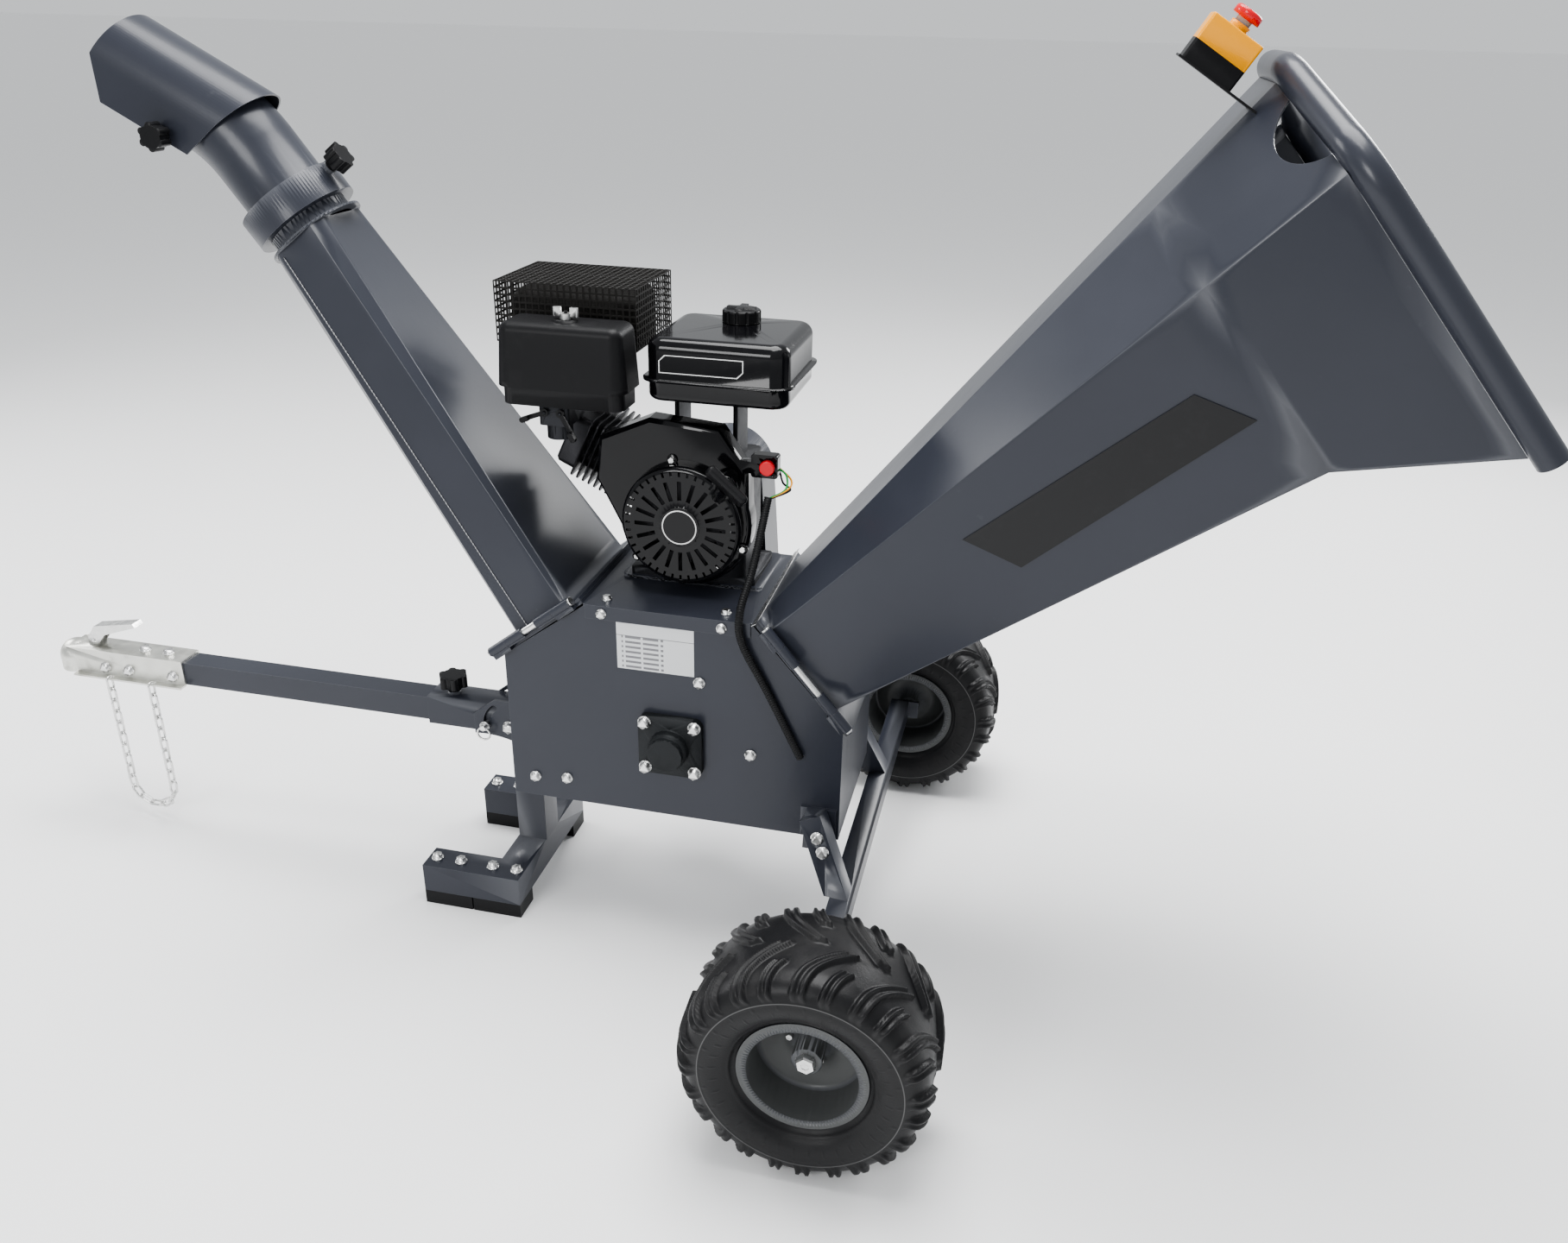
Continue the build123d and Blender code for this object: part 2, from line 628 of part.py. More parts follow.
# ---------------------------------------------------------------- pulleys and belt
def pulley(axis_z, radius, bore_r):
    """Flat-bottomed pulley with a cheek each side of the belt."""
    width = belt_w + 2
    plane = Plane(origin=at(0, belt_y - width / 2, axis_z), z_dir=far)
    body = extrude(plane * Circle(radius), amount=width)
    body += extrude(plane.offset(-pulley_cheek) * Circle(radius + pulley_rim), amount=pulley_cheek)
    body += extrude(plane.offset(width) * Circle(radius + pulley_rim), amount=pulley_cheek)
    return body - extrude(plane.offset(-20) * Circle(bore_r), amount=width + 40)


rotor_wheel = pulley(rotor_z, rotor_pulley_r, shaft_r)
with BuildPart() as rotor_pulley:
    add(rotor_wheel)
rotor_pulley.part.label = "rotor_pulley"
export_step(rotor_pulley.part, "parts/rotor_pulley.step")

engine_wheel = pulley(crank_z, engine_pulley_r, crank_r)
with BuildPart() as engine_pulley:
    add(engine_wheel)
engine_pulley.part.label = "engine_pulley"
export_step(engine_pulley.part, "parts/engine_pulley.step")

belt_gap = 0.4
with BuildPart() as drive_belt:
    with BuildSketch(across(belt_y + belt_w / 2)):
        with Locations((rotor_x, rotor_z)):
            Circle(rotor_pulley_r + belt_gap + belt_t)
        with Locations((rotor_x, crank_z)):
            Circle(engine_pulley_r + belt_gap + belt_t)
        make_hull()
    extrude(amount=belt_w)
    with BuildSketch(across(belt_y + belt_w / 2)):
        with Locations((rotor_x, rotor_z)):
            Circle(rotor_pulley_r + belt_gap)
        with Locations((rotor_x, crank_z)):
            Circle(engine_pulley_r + belt_gap)
        make_hull()
    extrude(amount=belt_w, mode=Mode.SUBTRACT)
drive_belt.part.label = "drive_belt"
export_step(drive_belt.part, "parts/drive_belt.step")

guard_low_r = rotor_pulley_r + pulley_rim + guard_side
guard_high_r = engine_pulley_r + pulley_rim + guard_side
with BuildPart() as belt_guard:
    with BuildSketch(across(guard_y)):
        with Locations((rotor_x, rotor_z)):
            Circle(guard_low_r)
        with Locations((rotor_x, crank_z)):
            Circle(guard_high_r)
        make_hull()
    extrude(amount=guard_y - panel_y)
    with BuildSketch(across(guard_y - guard_t)):
        with Locations((rotor_x, rotor_z)):
            Circle(guard_low_r - guard_t)
        with Locations((rotor_x, crank_z)):
            Circle(guard_high_r - guard_t)
        make_hull()
    extrude(amount=guard_y - guard_t - panel_y, mode=Mode.SUBTRACT)
belt_guard.part.label = "belt_guard"
export_step(belt_guard.part, "parts/belt_guard.step")

# ---------------------------------------------------------------- cable conduit
conduit_r = 7.0
conduit_route = [
    (156, -94, 905),
    (142, -138, 795),
    (127, -panel_y - lip_t - conduit_r - 0.3, 722),
    (132, -panel_y - lip_t - conduit_r - 0.3, 664),
    (176, -panel_y - conduit_r - 0.3, 576),
    (237, -panel_y - conduit_r - 0.3, 453),
]


def bend_radius(before, corner, after):
    """Largest tangent arc that the two runs at a corner allow."""
    first, second = Vector(*corner) - Vector(*before), Vector(*after) - Vector(*corner)
    turn = radians(first.get_angle(second))
    return 0.45 * min(first.length, second.length) / tan(turn / 2)


def cord_path(points):
    """Straight runs joined by tangent arcs."""
    places = [Vector(*at(*p)) for p in points]
    edges, start = [], places[0]
    for before, corner, after in zip(points, points[1:], points[2:]):
        radius = bend_radius(before, corner, after)
        first = (Vector(*corner) - Vector(*before)).normalized()
        second = (Vector(*after) - Vector(*corner)).normalized()
        reach = radius * tan(radians(first.get_angle(second)) / 2)
        place = Vector(*at(*corner))
        arc_start, arc_end = place - first * reach, place + second * reach
        edges.append(Edge.make_line(start, arc_start))
        edges.append(Edge.make_tangent_arc(arc_start, first, arc_end))
        start = arc_end
    edges.append(Edge.make_line(start, places[-1]))
    return Wire(edges)


conduit_path = cord_path(conduit_route)
with BuildPart() as cable_conduit:
    with BuildSketch(Plane(origin=conduit_path @ 0, z_dir=conduit_path % 0)):
        Circle(conduit_r)
    sweep(path=conduit_path)
cable_conduit.part.label = "cable_conduit"
export_step(cable_conduit.part, "parts/cable_conduit.step")

# ---------------------------------------------------------------- engine: crankcase and cylinder
case_left, case_right, case_back, case_top = -98.0, 95.0, 122.0, 922.0
boss_r = 46.0
boss_back = 146.0
stay_xs = (-34.0, 70.0)
with BuildPart() as engine_crankcase:
    with BuildSketch(Plane.XY.offset(engine_z)):
        with Locations((rotor_x, (shroud_back + case_back) / 2)):
            RectangleRounded(230, case_back - shroud_back, 8)
    extrude(amount=12)
    with BuildSketch(Plane.XY.offset(engine_z)):
        with Locations((rotor_x + (case_left + case_right) / 2, (shroud_back + case_back) / 2)):
            RectangleRounded(case_right - case_left, case_back - shroud_back, 22)
    extrude(amount=case_top - engine_z)
    with BuildSketch(Plane(origin=at(0, shroud_back, crank_z), z_dir=far)):
        Circle(boss_r)
    extrude(amount=boss_back - shroud_back)
    with BuildSketch(Plane.XY.offset(case_top)):
        with Locations(*[(rotor_x + x, 50) for x in stay_xs]):
            Rectangle(8, 70)
    extrude(amount=tank_min[2] - case_top)
    with BuildSketch(Plane(origin=at(0, shroud_back, crank_z), z_dir=far)):
        Circle(crank_r + running_gap)
    extrude(amount=boss_back - shroud_back, mode=Mode.SUBTRACT)
    dip_plane = Plane(origin=at(-108, 20, engine_z + 40), z_dir=(-0.82, 0, 0.57))
    with BuildSketch(dip_plane):
        Circle(14)
    extrude(amount=-20)
    with BuildSketch(dip_plane):
        Circle(8 + running_gap)
    extrude(amount=-16, mode=Mode.SUBTRACT)
engine_crankcase.part.label = "engine_crankcase"
export_step(engine_crankcase.part, "parts/engine_crankcase.step")

with BuildPart() as oil_dipstick:
    with BuildSketch(dip_plane.offset(-14)):
        Circle(8)
    extrude(amount=14 + body_gap)
    with BuildSketch(dip_plane.offset(body_gap)):
        RegularPolygon(13, 10)
    extrude(amount=12)
oil_dipstick.part.label = "oil_dipstick"
export_step(oil_dipstick.part, "parts/oil_dipstick.step")

cylinder_tilt = 25.0
fin_count, fin_pitch, fin_t = 11, 11.5, 3.0
cyl_plane = Plane(
    origin=at(0, 58, crank_z),
    x_dir=(0, 1, 0),
    z_dir=(-cos(radians(cylinder_tilt)), 0, sin(radians(cylinder_tilt))),
)
cyl_from, cyl_head, cyl_end = 100.0, 226.0, 262.0
with BuildPart() as engine_cylinder:
    with BuildSketch(cyl_plane.offset(cyl_from)):
        RectangleRounded(104, 88, 30)
    extrude(amount=cyl_head - cyl_from)
    for k in range(fin_count):
        with BuildSketch(cyl_plane.offset(cyl_from + 8 + k * fin_pitch)):
            RectangleRounded(134, 116, 10)
        extrude(amount=fin_t)
    with BuildSketch(cyl_plane.offset(cyl_head)):
        RectangleRounded(118, 98, 12)
    extrude(amount=cyl_end - cyl_head)
    chamfer(engine_cylinder.faces().sort_by(along(cyl_plane))[-1:].edges(), 5)
    add(engine_crankcase.part, mode=Mode.SUBTRACT)
engine_cylinder.part.label = "engine_cylinder"
export_step(engine_cylinder.part, "parts/engine_cylinder.step")

# ---------------------------------------------------------------- engine: cooling shroud, flywheel, recoil
shroud_wall = 3.0
flywheel_r = 98.0
shroud_outline = Pos(rotor_x, crank_z) * Circle(shroud_r) + Polygon(
    (rotor_x - 116, crank_z - 20), (rotor_x - 158, crank_z + 62), (rotor_x - 150, crank_z + 138),
    (rotor_x - 60, crank_z + 178), (rotor_x + 62, crank_z + 168), (rotor_x + 112, crank_z + 96),
    (rotor_x + 114, crank_z - 20), align=None,
)
shroud_inside = offset(shroud_outline, amount=-shroud_wall, kind=Kind.INTERSECTION)
with BuildPart() as fan_shroud:
    with BuildSketch(across(shroud_back)):
        add(shroud_outline)
    extrude(amount=shroud_back - shroud_front)
    chamfer(fan_shroud.faces().sort_by(Axis.Y)[0].edges(), 7)
    with BuildSketch(across(shroud_back)):
        add(shroud_inside)
    extrude(amount=shroud_back - shroud_front - 8, mode=Mode.SUBTRACT)
    with BuildSketch(across(shroud_back)):
        with Locations((rotor_x, crank_z)):
            Circle(flywheel_r + 4)
    extrude(amount=shroud_back - shroud_front + 1, mode=Mode.SUBTRACT)
    with BuildSketch(across(-60)):
        with Locations((rotor_x + 140, crank_z + 112)):
            RectangleRounded(46, 40, 5)
        with Locations((rotor_x + 110, crank_z + 108)):
            Rectangle(40, 20)
    extrude(amount=-20)
    with BuildSketch(across(-60)):
        with Locations((rotor_x + 146, crank_z + 112)):
            Circle(9 + body_gap)
    extrude(amount=-12, mode=Mode.SUBTRACT)
fan_shroud.part.label = "fan_shroud"
export_step(fan_shroud.part, "parts/fan_shroud.step")

with BuildPart() as engine_switch:
    with BuildSketch(across(-50)):
        with Locations((rotor_x + 146, crank_z + 112)):
            Circle(9)
    extrude(amount=18)
    with BuildSketch(across(-62)):
        with Locations((rotor_x + 146, crank_z + 112)):
            Circle(13)
    extrude(amount=9)
    fillet(engine_switch.faces().sort_by(Axis.Y)[0].edges(), 2.5)
engine_switch.part.label = "engine_switch"
export_step(engine_switch.part, "parts/engine_switch.step")

with BuildPart() as flywheel:
    with BuildSketch(Plane(origin=at(0, -54, crank_z), x_dir=(1, 0, 0), z_dir=far)):
        Circle(flywheel_r)
        Circle(crank_r, mode=Mode.SUBTRACT)
    extrude(amount=26)
    with BuildSketch(Plane(origin=at(0, -54, crank_z), x_dir=(1, 0, 0), z_dir=far)):
        with PolarLocations(76, 18):
            Rectangle(30, 6, rotation=24)
    extrude(amount=14, mode=Mode.SUBTRACT)
flywheel.part.label = "flywheel"
export_step(flywheel.part, "parts/flywheel.step")

crank_end = belt_y + belt_w / 2 + pulley_cheek + 2
with BuildPart() as crankshaft:
    with BuildSketch(Plane(origin=at(0, -56, crank_z), z_dir=far)):
        Circle(crank_r)
    extrude(amount=crank_end + 56)
    chamfer(crankshaft.edges().filter_by(GeomType.CIRCLE), 1)
crankshaft.part.label = "crankshaft"
export_step(crankshaft.part, "parts/crankshaft.step")

slot_count = 20
handle_x, handle_z = 84.0, 84.0         # rope guide, from the crank axis
with BuildPart() as recoil_cover:
    with BuildSketch(across(shroud_front)):
        with Locations((rotor_x, crank_z)):
            Circle(recoil_r)
        with Locations((rotor_x + handle_x - 8, crank_z + handle_z - 8)):
            Circle(24)
    extrude(amount=recoil_d)
    fillet(recoil_cover.faces().sort_by(Axis.Y)[0].edges(), 10)
    with BuildSketch(across(shroud_front)):
        with Locations((rotor_x, crank_z)):
            Circle(recoil_r - 4)
    extrude(amount=recoil_d - 3, mode=Mode.SUBTRACT)
    with BuildSketch(across(shroud_front - recoil_d - 2)):
        with Locations((rotor_x, crank_z)):
            with PolarLocations(64, slot_count):
                Rectangle(34, 7)
            with PolarLocations(recoil_r - 12, 2 * slot_count):
                Rectangle(9, 4)
    extrude(amount=-8, mode=Mode.SUBTRACT)
    with BuildSketch(across(shroud_front - recoil_d)):
        with Locations((rotor_x, crank_z)):
            Circle(35)
    extrude(amount=3)
    with BuildSketch(across(shroud_front)):
        with Locations(*[(rotor_x + 112 * cos(radians(a)), crank_z + 112 * sin(radians(a))) for a in (100, 220, 340)]):
            Circle(9)
    extrude(amount=4)
    handle_plane = Plane(
        origin=at(handle_x, shroud_front - recoil_d - 16, crank_z + handle_z),
        x_dir=(0.7, 0, -0.7),
        z_dir=(0.5, -0.55, 0.67),
    )
    with BuildSketch(handle_plane.offset(-36)):
        Circle(11)
    extrude(amount=36)
    with BuildSketch(handle_plane.offset(-20)):
        Circle(4)
    extrude(amount=22, mode=Mode.SUBTRACT)
recoil_cover.part.label = "recoil_cover"
export_step(recoil_cover.part, "parts/recoil_cover.step")

with BuildPart() as recoil_handle:
    with BuildSketch(handle_plane.offset(-16)):
        Circle(3)
    extrude(amount=20)
    with BuildSketch(handle_plane.offset(0.3)):
        RectangleRounded(84, 17, 8)
    extrude(amount=19)
    fillet(recoil_handle.faces().sort_by(along(handle_plane))[-1].edges(), 6)
recoil_handle.part.label = "recoil_handle"
export_step(recoil_handle.part, "parts/recoil_handle.step")


# ---------------------------------------------------------------- engine: tank, filter, muffler, carburettor
def middle(low, high):
    """Middle of a box in X (from the machine's origin) and Y."""
    return (rotor_x + (low[0] + high[0]) / 2, (low[1] + high[1]) / 2)


tank_l, tank_w = tank_max[0] - tank_min[0], tank_max[1] - tank_min[1]
cap_xy = (62.0, 84.0)
neck_r = 24.0
tank_wall = 4.0
with BuildPart() as fuel_tank:
    with BuildSketch(Plane.XY.offset(tank_min[2])):
        with Locations(middle(tank_min, tank_max)):
            RectangleRounded(tank_l - 16, tank_w - 16, 30)
    extrude(amount=tank_max[2] - tank_min[2])
    fillet(fuel_tank.faces().sort_by(Axis.Z)[-1].edges(), 20)
    fillet(fuel_tank.faces().sort_by(Axis.Z)[0].edges(), 12)
    with BuildSketch(Plane.XY.offset(tank_min[2] + 34)):
        with Locations(middle(tank_min, tank_max)):
            RectangleRounded(tank_l, tank_w, 34)
    extrude(amount=4)
    with BuildSketch(Plane.XY.offset(tank_max[2] - 2)):
        with Locations((rotor_x + cap_xy[0], cap_xy[1])):
            Circle(neck_r)
    extrude(amount=10)
    with BuildSketch(Plane.XY.offset(tank_min[2] + tank_wall)):
        with Locations(middle(tank_min, tank_max)):
            RectangleRounded(tank_l - 16 - 6 * tank_wall, tank_w - 16 - 6 * tank_wall, 20)
    extrude(amount=tank_max[2] - tank_min[2] - 2 * tank_wall, mode=Mode.SUBTRACT)
    with BuildSketch(Plane.XY.offset(tank_max[2] - 2 * tank_wall)):
        with Locations((rotor_x + cap_xy[0], cap_xy[1])):
            Circle(neck_r - tank_wall)
    extrude(amount=30, mode=Mode.SUBTRACT)
fuel_tank.part.label = "fuel_tank"
export_step(fuel_tank.part, "parts/fuel_tank.step")

with BuildPart() as fuel_cap:
    with BuildSketch(Plane.XY.offset(tank_max[2] + 1)):
        with Locations((rotor_x + cap_xy[0], cap_xy[1])):
            Circle(33)
    extrude(amount=21)
    fillet(fuel_cap.faces().sort_by(Axis.Z)[-1].edges(), 4)
    with BuildSketch(Plane.XY.offset(tank_max[2] + 22)):
        with Locations((rotor_x + cap_xy[0], cap_xy[1])):
            Rectangle(50, 12)
            Rectangle(12, 50)
    extrude(amount=4)
    with BuildSketch(Plane.XY.offset(tank_max[2] + 2)):
        with Locations((rotor_x + cap_xy[0], cap_xy[1])):
            with PolarLocations(35, 12):
                Circle(4)
    extrude(amount=24, mode=Mode.SUBTRACT)
    with BuildSketch(Plane.XY.offset(tank_max[2] + 1)):
        with Locations((rotor_x + cap_xy[0], cap_xy[1])):
            Circle(neck_r + body_gap)
    extrude(amount=7 + body_gap, mode=Mode.SUBTRACT)
fuel_cap.part.label = "fuel_cap"
export_step(fuel_cap.part, "parts/fuel_cap.step")

filter_l, filter_w = filter_max[0] - filter_min[0], filter_max[1] - filter_min[1]
seam_z = filter_min[2] + 30
stud_r = 3.0
filter_mid = middle(filter_min, filter_max)
with BuildPart() as air_filter_cover:
    with BuildSketch(Plane.XY.offset(filter_min[2])):
        with Locations(filter_mid):
            RectangleRounded(filter_l - 14, filter_w - 14, 22)
    extrude(amount=seam_z - filter_min[2])
    with BuildSketch(Plane.XY.offset(seam_z)):
        with Locations(filter_mid):
            RectangleRounded(filter_l, filter_w, 26)
    extrude(amount=filter_max[2] - seam_z, taper=4)
    fillet(air_filter_cover.faces().sort_by(Axis.Z)[-1].edges(), 16)
    with BuildSketch(Plane.XY.offset(filter_max[2])):
        with Locations(filter_mid):
            Circle(20)
    extrude(amount=3)
    with BuildSketch(Plane.XY.offset(filter_max[2])):
        with Locations(filter_mid):
            Circle(stud_r)
    extrude(amount=16)
air_filter_cover.part.label = "air_filter_cover"
export_step(air_filter_cover.part, "parts/air_filter_cover.step")

with BuildPart() as filter_wing_nut:
    with BuildSketch(Plane.XY.offset(filter_max[2] + 3.3)):
        with Locations(filter_mid):
            Circle(10)
    extrude(amount=9)
    with BuildSketch(Plane.XY.offset(filter_max[2] + 7)):
        with Locations(filter_mid):
            SlotOverall(44, 7)
    extrude(amount=15)
    with BuildSketch(Plane.XY.offset(filter_max[2] + 12.3)):
        with Locations(filter_mid):
            Circle(9)
    extrude(amount=20, mode=Mode.SUBTRACT)
    with BuildSketch(Plane.XY.offset(filter_max[2])):
        with Locations(filter_mid):
            Circle(stud_r + running_gap)
    extrude(amount=30, mode=Mode.SUBTRACT)
filter_wing_nut.part.label = "filter_wing_nut"
export_step(filter_wing_nut.part, "parts/filter_wing_nut.step")

pipe_x, pipe_y, pipe_r = -200.0, 92.0, 12.5
muffler_wall = 3.0
muffler_mid = middle(muffler_min, muffler_max)
head_z = crank_z + (cyl_head + cyl_end) / 2 * sin(radians(cylinder_tilt)) + 20
with BuildPart() as muffler:
    with BuildSketch(Plane.XY.offset(muffler_min[2])):
        with Locations(muffler_mid):
            RectangleRounded(muffler_max[0] - muffler_min[0], muffler_max[1] - muffler_min[1], 34)
    extrude(amount=muffler_max[2] - muffler_min[2])
    fillet(muffler.faces().sort_by(Axis.Z)[-1].edges(), 22)
    fillet(muffler.faces().sort_by(Axis.Z)[0].edges(), 14)
    with BuildSketch(Plane.XY.offset(head_z)):
        with Locations((rotor_x + pipe_x, pipe_y)):
            Circle(pipe_r)
    extrude(amount=muffler_min[2] + 4 - head_z)
    with BuildSketch(Plane.XY.offset(muffler_min[2] + muffler_wall)):
        with Locations(muffler_mid):
            RectangleRounded(muffler_max[0] - muffler_min[0] - 8 * muffler_wall,
                             muffler_max[1] - muffler_min[1] - 8 * muffler_wall, 20)
    extrude(amount=muffler_max[2] - muffler_min[2] - 2 * muffler_wall, mode=Mode.SUBTRACT)
    with BuildSketch(Plane.XY.offset(head_z)):
        with Locations((rotor_x + pipe_x, pipe_y)):
            Circle(pipe_r - muffler_wall)
    extrude(amount=muffler_min[2] + 2 * muffler_wall - head_z, mode=Mode.SUBTRACT)
    add(engine_cylinder.part, mode=Mode.SUBTRACT)
muffler.part.label = "muffler"
export_step(muffler.part, "parts/muffler.step")

cage_t, cage_pitch, cage_hole = 2.0, 24.0, 17.0
cage_low = [muffler_min[0] - guard_margin, muffler_min[1] - guard_margin, muffler_min[2] + 20]
cage_high = [muffler_max[0] + guard_margin, muffler_max[1] + guard_margin, muffler_max[2] + guard_margin]
cage_l, cage_w, cage_h = [b - a for a, b in zip(cage_low, cage_high)]
cage_mid = middle(cage_low, cage_high)
cage_mid_z = (cage_low[2] + cage_high[2]) / 2


def holes_along(length):
    """How many square holes fit along a cage wall."""
    return int((length - 8) // cage_pitch)


with BuildPart() as muffler_guard:
    with BuildSketch(Plane.XY.offset(cage_high[2] - cage_t)):
        with Locations(cage_mid):
            Rectangle(cage_l, cage_w)
            with GridLocations(cage_pitch, cage_pitch, holes_along(cage_l), holes_along(cage_w)):
                Rectangle(cage_hole, cage_hole, mode=Mode.SUBTRACT)
    extrude(amount=cage_t)
    for y in (cage_low[1] + cage_t, cage_high[1]):
        with BuildSketch(across(y)):
            with Locations((cage_mid[0], cage_mid_z)):
                Rectangle(cage_l, cage_h)
                with GridLocations(cage_pitch, cage_pitch, holes_along(cage_l), holes_along(cage_h)):
                    Rectangle(cage_hole, cage_hole, mode=Mode.SUBTRACT)
        extrude(amount=cage_t)
    for x in (cage_low[0], cage_high[0] - cage_t):
        with BuildSketch(Plane.YZ.offset(rotor_x + x)):
            with Locations((cage_mid[1], cage_mid_z)):
                Rectangle(cage_w, cage_h)
                with GridLocations(cage_pitch, cage_pitch, holes_along(cage_w), holes_along(cage_h)):
                    Rectangle(cage_hole, cage_hole, mode=Mode.SUBTRACT)
        extrude(amount=cage_t)
    with BuildSketch(Plane.XY.offset(muffler_max[2])):
        with Locations(*[(rotor_x + x, y) for x in (-280, -156) for y in (50, 110)]):
            Circle(5)
    extrude(amount=cage_high[2] - muffler_max[2])
muffler_guard.part.label = "muffler_guard"
export_step(muffler_guard.part, "parts/muffler_guard.step")

carb_low, carb_high = (-250.0, -78.0, 962.0), (-196.0, -22.0, filter_min[2])
with BuildPart() as carburettor:
    with BuildSketch(Plane.XY.offset(carb_low[2] + 26)):
        with Locations(middle(carb_low, carb_high)):
            RectangleRounded(carb_high[0] - carb_low[0], carb_high[1] - carb_low[1], 8)
    extrude(amount=carb_high[2] - carb_low[2] - 26)
    with BuildSketch(Plane.XY.offset(carb_low[2])):
        with Locations(middle(carb_low, carb_high)):
            Circle(22)
    extrude(amount=26)
    with BuildSketch(Plane(origin=at(-216, carb_high[1] - 4, carb_low[2] + 34), z_dir=far)):
        Circle(17)
    extrude(amount=30)
    add(engine_cylinder.part, mode=Mode.SUBTRACT)
    for x in (-236.0, -208.0):
        with BuildSketch(frame_at(x, carb_low[1], carb_low[2] + 50, near)):
            Circle(3)
        extrude(amount=9)
carburettor.part.label = "carburettor"
export_step(carburettor.part, "parts/carburettor.step")


def lever(node, x, reach, lean):
    """Small control lever on a carburettor spindle."""
    with BuildPart() as arm:
        with BuildSketch(frame_at(x, carb_low[1] - 4.5, carb_low[2] + 50, near)):
            Circle(7)
        extrude(amount=3)
        with BuildSketch(Plane(origin=at(x, carb_low[1] - 4.5, carb_low[2] + 50), x_dir=lean, z_dir=near)):
            with Locations((reach / 2, 0)):
                SlotOverall(reach + 8, 8)
            Circle(3 + running_gap, mode=Mode.SUBTRACT)
        extrude(amount=3)
        with BuildSketch(Plane(origin=at(x, carb_low[1] - 7.5, carb_low[2] + 50), x_dir=lean, z_dir=near)):
            with Locations((reach - 3, 0)):
                SlotOverall(18, 9)
        extrude(amount=9)
        with BuildSketch(frame_at(x, carb_low[1], carb_low[2] + 50, near)):
            Circle(3 + running_gap)
        extrude(amount=12, mode=Mode.SUBTRACT)
    arm.part.label = node
    export_step(arm.part, f"parts/{node}.step")


lever("choke_lever", -236.0, 38, (-0.94, 0, -0.34))
lever("throttle_lever", -208.0, 46, (0.5, 0, -0.86))

# ---------------------------------------------------------------- hopper
hopper_from = flange_t + body_gap
hopper_duct_from = hopper_from + flange_t


def share(out, start, end):
    """Value of a straight fold line at a distance out from the sloping face."""
    return start + (end - start) * (out - hopper_duct_from) / (hopper_l - hopper_duct_from)


def hopper_station(out, low):
    """Distance out, then the limits of the hopper's section there."""
    side = share(out, hopper_base_side, hopper_mouth_side)
    top = share(out, hopper_base_top, hopper_mouth_top)
    return (out, low, side, top, share(out, hopper_base_half, hopper_mouth_half))


hopper_end = hopper_l - rim_r       # the sheet stops where the rim tube begins
end_share = (hopper_end - hopper_kink) / (hopper_l - hopper_kink)
hopper_end_low = hopper_kink_low + end_share * (hopper_mouth_low - hopper_kink_low)


def hopper_solid(inset):
    """Hopper outline as a solid, its walls moved inward by inset."""
    stations = [
        hopper_station(hopper_duct_from, hopper_base_low),
        hopper_station(hopper_kink, hopper_kink_low),
        hopper_station(hopper_end, hopper_end_low),
    ]
    sections = []
    for out, low, side, top, half in stations:
        outline = Polygon((low, -half), (side, -half), (top, -hopper_top_half),
                          (top, hopper_top_half), (side, half), (low, half), align=None)
        if inset > 0:
            outline = offset(outline, amount=-inset, kind=Kind.INTERSECTION)
        sections.append(right_face.offset(out) * outline)
    return loft(sections[:2], ruled=True) + loft(sections[1:], ruled=True)


mouth_plane = right_face.offset(hopper_l)
rim_low = hopper_mouth_low + 8
rim_points = [
    (rim_low, -hopper_mouth_half), (hopper_mouth_side, -hopper_mouth_half),
    (hopper_mouth_top, -hopper_top_half), (hopper_mouth_top, hopper_top_half),
    (hopper_mouth_side, hopper_mouth_half), (rim_low, hopper_mouth_half),
]
rim_path = mouth_plane * FilletPolyline(*rim_points, radius=rim_bend)
rim_plane = Plane(origin=rim_path @ 0, z_dir=rim_path % 0)
rim_solid = sweep(rim_plane * Circle(rim_r), path=rim_path)
hopper_outer, hopper_inner = hopper_solid(0), hopper_solid(hopper_t)
hopper_knuckles = [
    knuckle(right_face, start, -1, hopper_from, hopper_from + flange_t)
    for start, kind in right_slots if kind == "moving"
]
chamfer_mid_a = (hopper_mouth_side + hopper_mouth_top) / 2
chamfer_mid_y = (hopper_mouth_half + hopper_top_half) / 2
chamfer_rise = (hopper_mouth_side - hopper_mouth_top) / (hopper_mouth_half - hopper_top_half)
hand_holes = []
for side in (-1, 1):
    hole_plane = Plane(
        origin=right_face.from_local_coords((chamfer_mid_a, side * chamfer_mid_y, hopper_l + 6)),
        x_dir=right_face.z_dir,
        z_dir=right_face.y_dir * (side * chamfer_rise) - right_face.x_dir,
    )
    hand_holes.append(extrude(hole_plane * Circle(hand_hole_r), amount=60, both=True))

estop_plane = Plane(
    origin=at(744.5, -78, 1565),
    x_dir=(0.85, 0, -0.5268),
    z_dir=(0.5268, 0, 0.85),
)
with BuildPart() as hopper_shell:
    add(hopper_outer)
    add(hopper_inner, mode=Mode.SUBTRACT)
    add(hand_holes, mode=Mode.SUBTRACT)
    with BuildSketch(right_face.offset(hopper_from)):
        with Locations((right_length / 2, 0)):
            Rectangle(right_length, 2 * panel_y)
        with Locations(((infeed_from + infeed_to) / 2, 0)):
            Rectangle(infeed_to - infeed_from, throat_width, mode=Mode.SUBTRACT)
    extrude(amount=flange_t)
    add(hopper_knuckles)
hopper_shell.part.label = "hopper_shell"
export_step(hopper_shell.part, "parts/hopper_shell.step")

